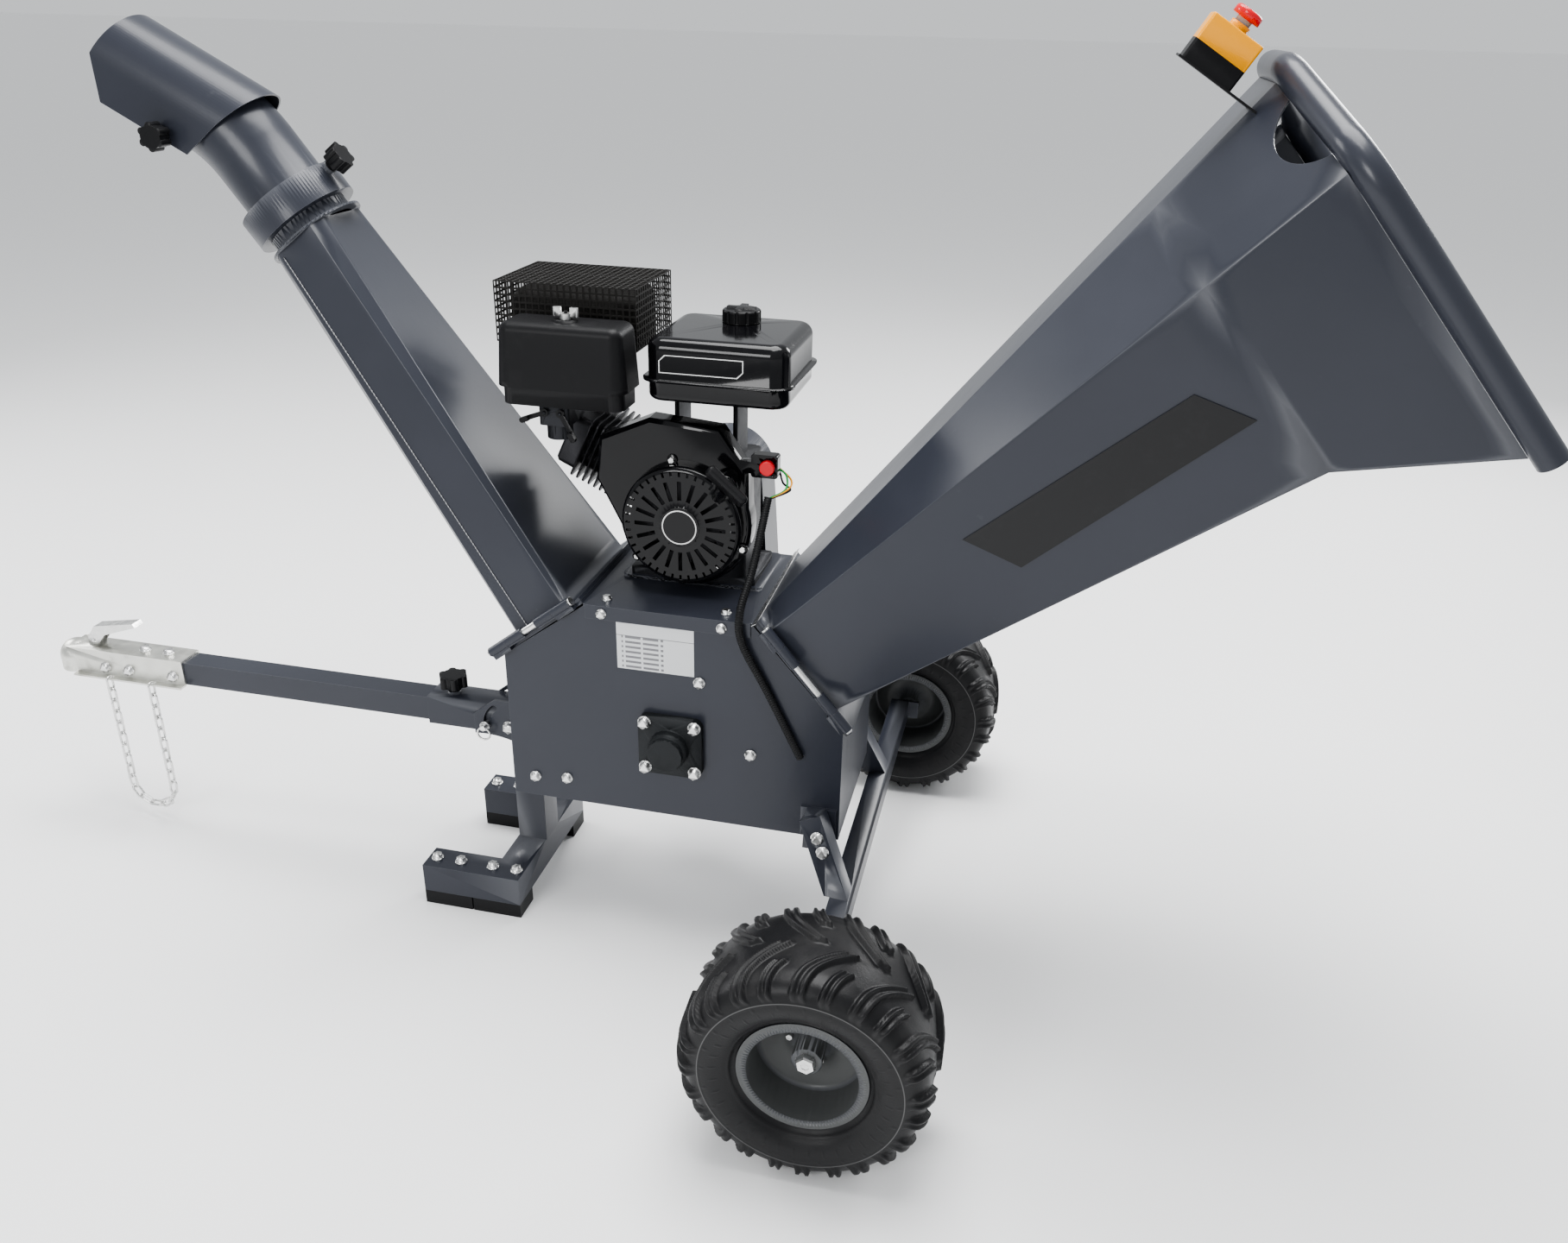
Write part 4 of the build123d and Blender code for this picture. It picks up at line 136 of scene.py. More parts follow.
# %% [markdown]
# Materials are sums and products of patterns. Wiring nodes one by one hides that,
# so a small class wraps a socket: adding or multiplying two wrapped sockets makes
# the Math node. Any other node comes from one method that takes its type and inputs.
# %% Shader arithmetic
class Value:
    """A shader number that grows Math nodes when it is used in arithmetic."""

    def __init__(self, socket, tree):
        self.socket, self.tree = socket, tree

    def math(self, operation, *others, swap=False):
        node = self.tree.nodes.new("ShaderNodeMath")
        node.operation = operation
        terms = [self, *others]
        for slot_in, term in zip(node.inputs, reversed(terms) if swap else terms):
            if isinstance(term, Value):
                self.tree.links.new(term.socket, slot_in)
            else:
                slot_in.default_value = term
        return Value(node.outputs[0], self.tree)

    def __add__(self, other): return self.math("ADD", other)
    def __radd__(self, other): return self.math("ADD", other)
    def __sub__(self, other): return self.math("SUBTRACT", other)
    def __rsub__(self, other): return self.math("SUBTRACT", other, swap=True)
    def __mul__(self, other): return self.math("MULTIPLY", other)
    def __rmul__(self, other): return self.math("MULTIPLY", other)
    def above(self, limit): return self.math("GREATER_THAN", limit)

    def ramp(self, low, high):
        """0 below low, 1 above high, straight between."""
        node = self.tree.nodes.new("ShaderNodeMapRange")
        self.tree.links.new(self.socket, node.inputs["Value"])
        node.inputs["From Min"].default_value, node.inputs["From Max"].default_value = low, high
        return Value(node.outputs["Result"], self.tree)


class Finish:
    """One material: its tree, its place socket and the shader that it ends in."""

    def __init__(self, name, color, roughness, metallic=0.0, coat=0.0, coat_roughness=0.05, shine=0.5):
        self.name = name
        self.material = bpy.data.materials.new(name)
        self.material.use_nodes = True
        self.tree = self.material.node_tree
        self.shader = self.tree.nodes["Principled BSDF"]
        self.place = self.node("ShaderNodeTexCoord", out="Object")
        self.set("Base Color", (*color, 1))
        self.set("Roughness", roughness)
        self.set("Metallic", metallic)
        self.set("Coat Weight", coat)
        self.set("Coat Roughness", coat_roughness)
        self.set("Specular IOR Level", shine)
        self.material.diffuse_color = (*color, 1)

    def node(self, kind, settings=None, inputs=None, out=0):
        """Any node: its settings first, then the values or links of its sockets."""
        made = self.tree.nodes.new(kind)
        for key, value in (settings or {}).items():
            setattr(made, key, value)
        for key, value in (inputs or {}).items():
            self.feed(made.inputs[key], value)
        return Value(made.outputs[out], self.tree)

    def feed(self, socket, value):
        if isinstance(value, Value):
            self.tree.links.new(value.socket, socket)
        else:
            socket.default_value = value

    def set(self, name, value):
        self.feed(self.shader.inputs[name], value)

    def noise(self, scale, detail=3.0, roughness=0.5):
        return self.node("ShaderNodeTexNoise", inputs={"Vector": self.place, "Scale": scale,
                                                       "Detail": detail, "Roughness": roughness})

    def mix(self, share, first, second):
        """Colour first where share is 0, second where it is 1."""
        first, second = (c if isinstance(c, Value) else (*c, 1) for c in (first, second))
        return self.node("ShaderNodeMix", {"data_type": "RGBA"}, {0: share, 6: first, 7: second}, out=2)

    def bump(self, height, distance, strength=1.0):
        self.set("Normal", self.node("ShaderNodeBump", inputs={
            "Height": height, "Distance": distance, "Strength": strength}))

    def along(self, direction, offset=0.0):
        """Distance along a direction, from the origin, in metres."""
        dot = self.node("ShaderNodeVectorMath", {"operation": "DOT_PRODUCT"},
                        {0: self.place, 1: direction}, out="Value")
        return dot - offset

    def worn_edges(self, radius=0.0012):
        """1 on sharp edges, from how far a normal rounded over radius leans off the true one."""
        rounded = self.node("ShaderNodeBevel", {"samples": 4}, {"Radius": radius})
        true = self.node("ShaderNodeNewGeometry", out="True Normal")
        match = self.node("ShaderNodeVectorMath", {"operation": "DOT_PRODUCT"},
                          {0: rounded, 1: true}, out="Value")
        return (1.0 - match).ramp(0.02, 0.16)


# %% [markdown]
# The frame, hopper and chute carry one paint: a blue-grey two-pack gloss, sprayed on sheet.
# Sprayed gloss has a fine orange-peel ripple, faint dust in slow patches, and rubbed spots.
# %% Gloss paint
PAINT = (0.030, 0.033, 0.044)


def gloss_paint(name, color=PAINT, roughness=0.3):
    """Grey gloss: base mottled by slow noise, peel ripple in the bump, dust raising roughness."""
    paint = Finish(name, color, roughness, coat=0.12, coat_roughness=0.15, shine=0.35)
    slow = paint.noise(3.0, 4.0, 0.55)
    fine = paint.noise(210.0, 2.0)
    scuff = paint.noise(38.0, 6.0, 0.7).ramp(0.66, 0.78)
    dust = slow.ramp(0.42, 0.72)
    base = paint.mix(dust * 0.35, color, tuple(c * 1.25 + 0.008 for c in color))
    rubbed = paint.worn_edges()
    base = paint.mix(scuff * 0.2, base, (0.09, 0.095, 0.105))
    paint.set("Base Color", paint.mix(rubbed * 0.5, base, (0.16, 0.165, 0.18)))
    paint.set("Roughness", roughness + dust * 0.08 + scuff * 0.16)
    paint.bump(fine * 0.5 + paint.noise(60.0, 2.0), 0.00025, 0.35)
    return paint


body_paint = gloss_paint("grey_paint")
rim_paint = gloss_paint("rim_paint", (0.075, 0.078, 0.078), 0.42)
print("paint", PAINT)

# %% [markdown]
# Bolts, chain and coupler are zinc plated: bright, slightly blue, with a soft crystalline
# mottle. A slow noise places darker stains, which both the colour and the roughness follow.
# %% Metals
def plated(name, color, rough_low, rough_high, grain=90.0, stain=(0.22, 0.21, 0.19)):
    """Bare or plated metal: a cell pattern mottles the roughness, and slow noise places the stains."""
    metal = Finish(name, color, rough_low, metallic=1.0)
    mottle = metal.node("ShaderNodeTexVoronoi", inputs={"Vector": metal.place, "Scale": grain},
                        out="Distance")
    stained = metal.noise(14.0, 6.0, 0.65).ramp(0.56, 0.78)
    metal.set("Base Color", metal.mix(stained * 0.6, color, stain))
    metal.set("Roughness", rough_low + mottle * (rough_high - rough_low) + stained * 0.15)
    metal.bump(metal.noise(160.0, 3.0), 0.0002, 0.4)
    return metal


zinc = plated("bright_zinc", (0.74, 0.74, 0.73), 0.2, 0.42)
coupler_zinc = plated("coupler_zinc", (0.68, 0.68, 0.64), 0.3, 0.5, 40.0)
worked_steel = plated("worked_steel", (0.4, 0.39, 0.38), 0.35, 0.55)


def cast_metal(name, color, metallic, roughness, grain):
    """Sand-cast skin: two noises of different size summed in the bump."""
    cast = Finish(name, color, roughness, metallic=metallic, shine=0.3)
    grains = cast.noise(grain, 4.0, 0.65)
    grime = cast.noise(22.0, 5.0).ramp(0.5, 0.75)
    cast.set("Base Color", cast.mix(grime * 0.5, color, tuple(c * 0.55 for c in color)))
    cast.set("Roughness", roughness + grime * 0.12)
    cast.bump(grains + cast.noise(grain * 0.2, 2.0) * 0.6, 0.0008, 0.5)
    return cast


engine_cast = cast_metal("engine_cast", (0.035, 0.036, 0.04), 0.75, 0.42, 420.0)
bearing_cast = cast_metal("bearing_cast", (0.02, 0.022, 0.024), 0.3, 0.45, 380.0)
fin_cast = cast_metal("fin_cast", (0.07, 0.07, 0.075), 0.85, 0.45, 500.0)

# %% [markdown]
# The engine's tank and fan cover are black enamel with the deepest gloss on the machine.
# Its air filter box is matt textured plastic, and the silencer wears heat-proof black.
# The stop button's red cap stands on a grey stem, told apart by how far out a point lies.
# %% Engine blacks and plastics
def moulded(name, color, roughness, grain, depth, coat=0.0):
    """Moulded or enamelled skin: even colour, grain in bump, handling marks in roughness."""
    skin = Finish(name, color, roughness, coat=coat, shine=0.22)
    marks = skin.noise(26.0, 6.0, 0.68).ramp(0.55, 0.78)
    skin.set("Base Color", skin.mix(marks * 0.3, color, tuple(c * 1.3 + 0.012 for c in color)))
    skin.set("Roughness", roughness + marks * 0.12)
    skin.bump(skin.noise(grain, 3.0, 0.6), depth, 0.5)
    return skin


black_enamel = moulded("black_enamel", (0.004, 0.004, 0.005), 0.12, 120.0, 0.0001, coat=0.25)
matt_black = moulded("matt_black", (0.008, 0.008, 0.009), 0.42, 900.0, 0.0003)
heat_black = moulded("heat_black", (0.014, 0.013, 0.012), 0.6, 500.0, 0.0004)
knob_black = moulded("knob_black", (0.01, 0.01, 0.011), 0.35, 700.0, 0.0002)
STOP_RED, STEM_GREY = (0.62, 0.012, 0.02), (0.3, 0.31, 0.33)
red_plastic = moulded("red_plastic", STOP_RED, 0.25, 300.0, 0.0001, coat=0.4)
yellow_plastic = moulded("yellow_plastic", (0.92, 0.38, 0.012), 0.34, 500.0, 0.0001, coat=0.2)
belt_rubber = moulded("belt_rubber", (0.015, 0.015, 0.015), 0.7, 240.0, 0.0005)
STOP_PLACE, STOP_OUT = Vector((ROTOR_X + 0.7445, -0.078, 1.565)), Vector((0.5268, 0, 0.85)).normalized()
CAP_STARTS = 0.077                  # metres out from the stop box's foot
stop_plastic = moulded("stop_plastic", STOP_RED, 0.25, 300.0, 0.0001, coat=0.4)
stem_part = (STOP_OUT.dot(STOP_PLACE) + CAP_STARTS - stop_plastic.along(tuple(STOP_OUT))).above(0.0)
stop_plastic.set("Base Color", stop_plastic.mix(stem_part, STOP_RED, STEM_GREY))
decal_black = moulded("decal_black", (0.008, 0.008, 0.009), 0.3, 200.0, 0.00005, coat=0.3)

# %% [markdown]
# Tyre rubber is nearly black, with grey dust held in its pores and a painted highlight along the ridge on
# the sidewall.
# The painted highlight is a band of distance from the axle, so it follows the moulded ridge exactly.
# %% Tyre rubber
RUBBER, RUBBER_DUST, RIDGE_HIGHLIGHT_GREY = (0.009, 0.009, 0.010), (0.03, 0.029, 0.028), (0.13, 0.13, 0.13)
tyre_rubber = Finish("tyre_rubber", RUBBER, 0.5, shine=0.3)
pores = tyre_rubber.noise(320.0, 4.0, 0.7)
dusting = tyre_rubber.noise(16.0, 5.0, 0.6).ramp(0.48, 0.74)
AXLE = Vector((ROTOR_X + 0.349, 0.56, 0.2))
from_centre = tyre_rubber.node("ShaderNodeVectorMath", {"operation": "SUBTRACT"},
                               {0: tyre_rubber.place, 1: tuple(AXLE)})
from_axle = tyre_rubber.node("ShaderNodeVectorMath", {"operation": "MULTIPLY"},
                             {0: from_centre, 1: (1, 0, 1)})
reach = tyre_rubber.node("ShaderNodeVectorMath", {"operation": "LENGTH"}, {0: from_axle}, out="Value")
RING_R, RING_HALF, RING_FADE = 0.157, 0.0011, 0.0006
# Painted highlight: a lighter grey band along the sidewall ridge, standing in for the light that the ridge
# catches.
ridge_highlight = (RING_HALF - (reach - RING_R).math("ABSOLUTE")).ramp(0.0, RING_FADE)
rubber_color = tyre_rubber.mix(dusting * 0.3, RUBBER, RUBBER_DUST)
tyre_rubber.set("Base Color", tyre_rubber.mix(ridge_highlight * 0.7, rubber_color, RIDGE_HIGHLIGHT_GREY))
tyre_rubber.set("Roughness", 0.38 + dusting * 0.22)
tyre_rubber.bump(pores, 0.0006, 0.5)

# %% [markdown]
# The two flanges that meet at the hopper's hinge are ground bright along their upper edge.
# The bare strip is chosen by how far a point lies down the slope, so it needs no separate part.
# %% Paint with a bare ground edge
SLOPE = Vector((162.0, 0, -189.0)).normalized()
SLOPE_OUT = Vector((189.0, 0, 162.0)).normalized()
SLOPE_TOP = Vector((ROTOR_X + 0.147, 0, 0.7))
BARE_DEPTH, FLANGES_THICK = 0.0012, 0.0135


def ground_edge_paint(name):
    """Gloss paint that turns to bare steel at the slope's upper end, over the flanges' thickness."""
    paint = gloss_paint(name)
    down = paint.along(tuple(SLOPE), SLOPE.dot(SLOPE_TOP))
    out = paint.along(tuple(SLOPE_OUT), SLOPE_OUT.dot(SLOPE_TOP))
    near_end = (BARE_DEPTH - down).ramp(0.0, 0.0008)
    bare = near_end * out.ramp(-0.001, 0.0) * (FLANGES_THICK - out).ramp(0.0, 0.001)
    painted = Value(paint.shader.inputs["Base Color"].links[0].from_socket, paint.tree)
    paint.set("Base Color", paint.mix(bare, painted, (0.75, 0.74, 0.72)))
    paint.set("Metallic", bare * 0.9)
    return paint


flange_paint = ground_edge_paint("flange_paint")

# %% [markdown]
# The CAD meshes are loose triangles, so their curves would show facets in gloss.
# A copy with its doubles merged can be shaded smooth. Weighted normals then keep each large
# flat face flat, so only the bends and corners turn the light.
# %% Finished copies of the CAD pieces
SMOOTH_ANGLE = math.radians(32)


def finished(node, finish):
    """Merged, smooth-shaded copy of a CAD piece, standing in for it on the same body."""
    source = nodes[node]
    mesh = source.data.copy()
    mesh.materials.clear()
    mesh.materials.append(finish.material)
    mesh.polygons.foreach_set("material_index", np.zeros(len(mesh.polygons), np.int32))
    piece = bpy.data.objects.new(node + "_finish", mesh)
    bpy.context.scene.collection.objects.link(piece)
    work = bmesh.new()
    work.from_mesh(mesh)
    bmesh.ops.remove_doubles(work, verts=work.verts, dist=1e-6)
    bmesh.ops.dissolve_degenerate(work, edges=work.edges, dist=1e-7)
    work.to_mesh(mesh)
    work.free()
    mesh.polygons.foreach_set("use_smooth", np.ones(len(mesh.polygons), bool))
    mesh.set_sharp_from_angle(angle=SMOOTH_ANGLE)
    flats = piece.modifiers.new("flats", "WEIGHTED_NORMAL")
    flats.keep_sharp, flats.weight = True, 100
    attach(piece, source["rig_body"])
    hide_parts(node)
    return piece


COATS = (
    (body_paint, ("housing_near_panel", "housing_far_panel", "engine_deck", "front_stand",
                  "hitch_bracket", "axle_frame", "belt_guard", "hopper_rim_tube", "chute_shell",
                  "elbow_tube", "deflector_hood", "tow_sleeve", "tow_tube")),
    (flange_paint, ("housing_shell", "hopper_shell")),
    (rim_paint, ("rim_near", "rim_far")),
    (zinc, ("housing_bolts", "hinge_pins", "coupler_bolts", "safety_chain", "lock_pin",
            "coupler_latch", "filter_wing_nut")),
    (coupler_zinc, ("coupler",)),
    (bearing_cast, ("rotor_bearings",)),
    (engine_cast, ("engine_crankcase", "carburettor")),
    (fin_cast, ("engine_cylinder",)),
    (black_enamel, ("fan_shroud", "recoil_cover", "fuel_tank")),
    (matt_black, ("air_filter_cover", "stand_pads", "estop_box")),
    (heat_black, ("muffler",)),
    (knob_black, ("collar_knob", "deflector_knob", "tow_knob", "fuel_cap", "recoil_handle",
                  "choke_lever", "throttle_lever", "oil_dipstick")),
    (red_plastic, ("engine_switch",)),
    (stop_plastic, ("estop_button",)),
    (yellow_plastic, ("estop_cover",)),
)
copies = {}
for finish, names in COATS:
    for name in names:
        copies[name] = finished(name, finish)
INNER = {"rotor_shaft": worked_steel, "rotor_drum": worked_steel, "rotor_blades": worked_steel,
         "anvil_bar": worked_steel, "crankshaft": worked_steel, "flywheel": fin_cast,
         "rotor_pulley": bearing_cast, "engine_pulley": bearing_cast, "drive_belt": belt_rubber}
for name, finish in INNER.items():
    nodes[name].data.materials.clear()
    nodes[name].data.materials.append(finish.material)
print("finished", len(copies), "pieces;", len(INNER), "inner pieces kept")

# %% [markdown]
# New pieces are surfaces worked out on a grid. A grid of points becomes a mesh by
# joining each point to its neighbours, and it may close on itself either way.
# %% Grid surfaces
def grid_piece(name, points, finish, body, close_u=False, close_v=False, replaced=(), smooth=True):
    """Quads over an array of points shaped (rows, columns, 3); rows run along u, columns along v."""
    rows, cols = points.shape[:2]
    index = np.arange(rows * cols).reshape(rows, cols)
    u = np.arange(rows if close_u else rows - 1)[:, None]
    v = np.arange(cols if close_v else cols - 1)[None, :]
    u2, v2 = (u + 1) % rows, (v + 1) % cols
    quads = np.stack([index[u, v], index[u2, v], index[u2, v2], index[u, v2]], axis=-1).reshape(-1, 4)
    return mesh_piece(name, points.reshape(-1, 3), quads, finish, body, replaced, smooth)


def mesh_piece(name, verts, quads, finish, body, replaced=(), smooth=True):
    """Mesh of quads, with its material, riding on a body and standing for CAD pieces."""
    mesh = bpy.data.meshes.new(name)
    verts, quads = np.asarray(verts, np.float32), np.asarray(quads, np.int32)
    mesh.vertices.add(len(verts))
    mesh.vertices.foreach_set("co", verts.ravel())
    mesh.loops.add(quads.size)
    mesh.loops.foreach_set("vertex_index", quads.ravel())
    mesh.polygons.add(len(quads))
    mesh.polygons.foreach_set("loop_start", np.arange(0, quads.size, 4, dtype=np.int32))
    mesh.polygons.foreach_set("use_smooth", np.full(len(quads), smooth))
    mesh.update(calc_edges=True)
    mesh.validate()
    mesh.materials.append(finish.material)
    piece = bpy.data.objects.new(name, mesh)
    bpy.context.scene.collection.objects.link(piece)
    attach(piece, body)
    for node in replaced:
        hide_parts(node)
    print(name, len(verts), "points", len(quads), "quads")
    return piece


def smoothstep(low, high, x):
    """0 below low, 1 above high, with a soft S between: 3t^2 - 2t^3."""
    t = np.clip((x - low) / (high - low), 0, 1)
    return t * t * (3 - 2 * t)


# %% [markdown]
# The tyres carry chunky slanted lugs, in pairs that point the same way round the wheel.
# A tyre is a closed profile swept round its axle. The lugs are a height added along the
# surface: a wave of angle and width, cut into bars, raised only over tread and shoulder.
# %% Tyres
TYRE_R, TYRE_HALF = 0.200, 0.098
LUGS, LUG_H = 12, 0.0085


def bar(phase, width):
    """1 inside a bar that fills width of each turn of phase, with soft sides and a shallow groove."""
    soft, groove_depth = 0.03, 0.45
    groove = smoothstep(0.3, 0.42, phase / width) * (1 - smoothstep(0.58, 0.7, phase / width))
    sides = smoothstep(0.0, soft, phase) * (1 - smoothstep(width - soft, width, phase))
    return sides * (1 - groove_depth * groove)


def tyre(name, side):
    """Profile points (across, radius) swept by angle. Long lugs start at the middle, short ones at the
    shoulder half a pitch on; both lean back as they go outward, and fade down the sidewall."""
    steps, samples, smoothings = 640, 150, 6
    outline = np.array([(0.058, 0.0893), (0.0717, 0.0893), (0.0717, 0.1035), (0.0780, 0.109),
                        (0.0870, 0.1175), (0.0940, 0.131), (0.0970, 0.145), (0.0955, 0.160),
                        (0.0905, 0.1735), (0.0795, 0.1838), (0.0620, 0.1896), (0.0320, 0.1916),
                        (0.0, 0.1920)])
    full = np.vstack([outline, outline[-2::-1] * (-1, 1)])
    knots = np.concatenate([[0], np.cumsum(np.hypot(*np.diff(full, axis=0).T))])
    where = np.linspace(0, knots[-1], samples)
    across, radius = np.interp(where, knots, full[:, 0]), np.interp(where, knots, full[:, 1])
    for _ in range(smoothings):
        across[2:-2] = (across[1:-3] + across[2:-2] * 2 + across[3:-1]) / 4
        radius[2:-2] = (radius[1:-3] + radius[2:-2] * 2 + radius[3:-1]) / 4
    angle = np.linspace(0, 2 * np.pi, steps, endpoint=False)[:, None]
    span = np.abs(across)[None, :] / TYRE_HALF
    lean = span * 0.75 + 0.18 * np.sin(span * np.pi) + smoothstep(0.172, 0.15, radius)[None, :] * -0.12
    half = np.where(across[None, :] > 0, 0.0, 0.5)
    phase = angle * LUGS / (2 * np.pi) + half + lean
    long_lug = bar(phase % 1.0, 0.27) * smoothstep(0.03, 0.07, span)
    short_lug = bar((phase + 0.52) % 1.0, 0.22) * smoothstep(0.42, 0.47, span)
    fade = smoothstep(0.1585, 0.178, radius)[None, :]
    crown = np.maximum(long_lug, short_lug) * fade
    ring = sum(height * np.exp(-((radius - middle) / spread) ** 2)
               for height, middle, spread in ((0.0009, RING_R, RING_HALF), (0.0012, 0.1125, 0.0016)))
    ticks = (np.sin(angle * 36) > 0.93) * ((radius > 0.128) & (radius < 0.139))[None, :]
    ticks = ticks + (np.sin(angle * 24 + 1.0) > 0.95) * ((radius > 0.146) & (radius < 0.153))[None, :]
    slope = np.gradient(np.stack([across, radius], -1), axis=0)
    normal = np.stack([slope[:, 1], -slope[:, 0]], -1)
    normal /= np.linalg.norm(normal, axis=1, keepdims=True)
    lift = crown * LUG_H + ring[None, :] + 0.0006 * ticks
    y = across[None, :] + normal[None, :, 0] * lift
    r = radius[None, :] + normal[None, :, 1] * lift
    r, y = np.minimum(r, TYRE_R), np.clip(y, -TYRE_HALF, TYRE_HALF)
    points = np.stack([AXLE.x + r * np.sin(angle), side * AXLE.y + y, AXLE.z + r * np.cos(angle)], -1)
    word = "near" if side < 0 else "far"
    return grid_piece(name, points, tyre_rubber, "wheel_" + word, close_u=True, close_v=True,
                      replaced=["tyre_" + word])


tyre("tyre_near_tread", -1)
tyre("tyre_far_tread", 1)

# %% [markdown]
# A perforated cage keeps hands off the silencer. Each wall is a grid of square cells,
# and each cell is a frame of four quads round a hole, so the wall is built as arrays.
# %% Silencer cage
cage_low, cage_high = (np.array(v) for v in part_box("muffler_guard"))


def cage_wall(origin, u_dir, v_dir, length, height, cell=0.0115, web=0.13):
    """Vertices and quads of a flat grid of framed holes; web is the frame's share of a cell."""
    nu, nv = int(round(length / cell)), int(round(height / cell))
    i, j = np.meshgrid(np.arange(nu), np.arange(nv), indexing="ij")
    outer = np.array([(0, 0), (1, 0), (1, 1), (0, 1)], float)
    inner = outer * (1 - 2 * web) + web
    ring = np.vstack([outer, inner])
    uv = (np.stack([i, j], -1)[..., None, :] + ring) * (length / nu, height / nv)
    verts = origin + uv[..., :1] * u_dir + uv[..., 1:] * v_dir
    face = np.array([(0, 1, 5, 4), (1, 2, 6, 5), (2, 3, 7, 6), (3, 0, 4, 7)])
    quads = face[None] + 8 * np.arange(nu * nv)[:, None, None]
    return verts.reshape(-1, 3), quads.reshape(-1, 4)


axis_x, axis_y, axis_z = np.eye(3)
cage_size = cage_high - cage_low
cage_verts, cage_quads, count = [], [], 0
for origin, u_dir, v_dir, length, height in (
        (cage_low + axis_z * cage_size[2], axis_x, axis_y, cage_size[0], cage_size[1]),
        (cage_low, axis_x, axis_z, cage_size[0], cage_size[2]),
        (cage_low + axis_y * cage_size[1] + axis_x * cage_size[0], -axis_x, axis_z,
         cage_size[0], cage_size[2]),
        (cage_low + axis_y * cage_size[1], -axis_y, axis_z, cage_size[1], cage_size[2]),
        (cage_low + axis_x * cage_size[0], axis_y, axis_z, cage_size[1], cage_size[2])):
    verts, quads = cage_wall(origin, u_dir, v_dir, length, height)
    cage_verts.append(verts)
    cage_quads.append(quads + count)
    count += len(verts)
cage = mesh_piece("silencer_cage", np.vstack(cage_verts), np.vstack(cage_quads), heat_black, "root",
                  ["muffler_guard"], smooth=False)
SHEET_THICK = 0.0016
work = bmesh.new()
work.from_mesh(cage.data)
bmesh.ops.remove_doubles(work, verts=work.verts, dist=1e-5)
work.to_mesh(cage.data)
work.free()
sheet = cage.modifiers.new("sheet", "SOLIDIFY")
sheet.thickness, sheet.offset = SHEET_THICK, -1

# %% [markdown]
# The cable sleeve is ribbed hose. Its centre line is a spline through a few points, and
# its radius rises and falls along the length, one rib every few millimetres.
# %% Ribbed cable sleeve
def through(points, count):
    """Catmull-Rom curve through points, sampled evenly in each span."""
    p = np.asarray(points, float)
    p = np.vstack([2 * p[0] - p[1], p, 2 * p[-1] - p[-2]])
    t = np.linspace(0, 1, count, endpoint=False)[:, None]
    spans = [0.5 * (2 * b + (c - a) * t + (2 * a - 5 * b + 4 * c - d) * t ** 2
                    + (3 * b - a - 3 * c + d) * t ** 3)
             for a, b, c, d in zip(p, p[1:], p[2:], p[3:])]
    return np.vstack([*spans, p[-2:-1]])


def tube_along(name, path, radius, finish, body, sides=14, replaced=()):
    """Rings of sides points round a path; radius is one number or one per path point."""
    tangent = np.gradient(path, axis=0)
    tangent /= np.linalg.norm(tangent, axis=1, keepdims=True)
    side = np.cross(tangent, (0.0, 1.0, 0.0))
    poor = np.linalg.norm(side, axis=1) < 0.2
    side[poor] = np.cross(tangent[poor], (1.0, 0.0, 0.0))
    side /= np.linalg.norm(side, axis=1, keepdims=True)
    other = np.cross(tangent, side)
    turn = np.linspace(0, 2 * np.pi, sides, endpoint=False)
    radius = np.broadcast_to(np.asarray(radius, float), len(path))[:, None, None]
    rings = path[:, None] + radius * (side[:, None] * np.cos(turn)[None, :, None]
                                      + other[:, None] * np.sin(turn)[None, :, None])
    ends = [np.repeat(path[:1, None], sides, 1), np.repeat(path[-1:, None], sides, 1)]
    return grid_piece(name, np.concatenate([ends[0], rings, ends[1]]), finish, body, close_v=True,
                      replaced=replaced)


SLEEVE_ROUTE = np.array([(156, -94, 905), (142, -138, 795), (127, -165.3, 722), (132, -165.3, 664),
                         (176, -161.3, 576), (237, -161.3, 453)]) / 1000 + (ROTOR_X, 0, 0)
route = through(SLEEVE_ROUTE, 170)
run = np.concatenate([[0], np.cumsum(np.linalg.norm(np.diff(route, axis=0), axis=1))])
RIB_PITCH, RIB_FOOT_R, RIB_HEIGHT = 0.0042, 0.0062, 0.0009
ribs = RIB_FOOT_R + RIB_HEIGHT * smoothstep(-0.3, 0.3, np.sin(2 * np.pi * run / RIB_PITCH))
tube_along("ribbed_sleeve", route, ribs, knob_black, "root", replaced=["cable_conduit"])
print("sleeve length", round(run[-1], 3))


# %% [markdown]
# Labels are thin plates that stand a hair off the sheet: a plain black band on the hopper
# and a pale plate on the housing. They carry no words. Ruled dark bars stand for printing,
# worked from the distance along the plate.
# %% Labels
def plate_on(name, corners, thickness, finish, body):
    """Four corners, first to last round the edge; the plate is raised along its own normal."""
    low = np.array(corners, float)
    normal = np.cross(low[1] - low[0], low[3] - low[0])
    normal /= np.linalg.norm(normal)
    verts = np.vstack([low, low + normal * thickness])
    quads = [(3, 2, 1, 0), (4, 5, 6, 7), (0, 1, 5, 4), (1, 2, 6, 5), (2, 3, 7, 6), (3, 0, 4, 7)]
    return mesh_piece(name, verts, quads, finish, body, smooth=False)


def slope_point(down, y, out):
    """Point in the hopper's frame: down the slope, across, and out from the face, in metres."""
    return np.array(SLOPE_TOP + SLOPE * down + SLOPE_OUT * out) + (0, y, 0)


def hopper_side_y(out, stand_off=0.0012):
    """Y of the hopper's near wall at a distance out: it widens evenly to the mouth."""
    foot_half, foot_out, widens, over = 0.145, 0.0125, 0.155, 1.0875
    return -(foot_half + (out - foot_out) * widens / over) - stand_off


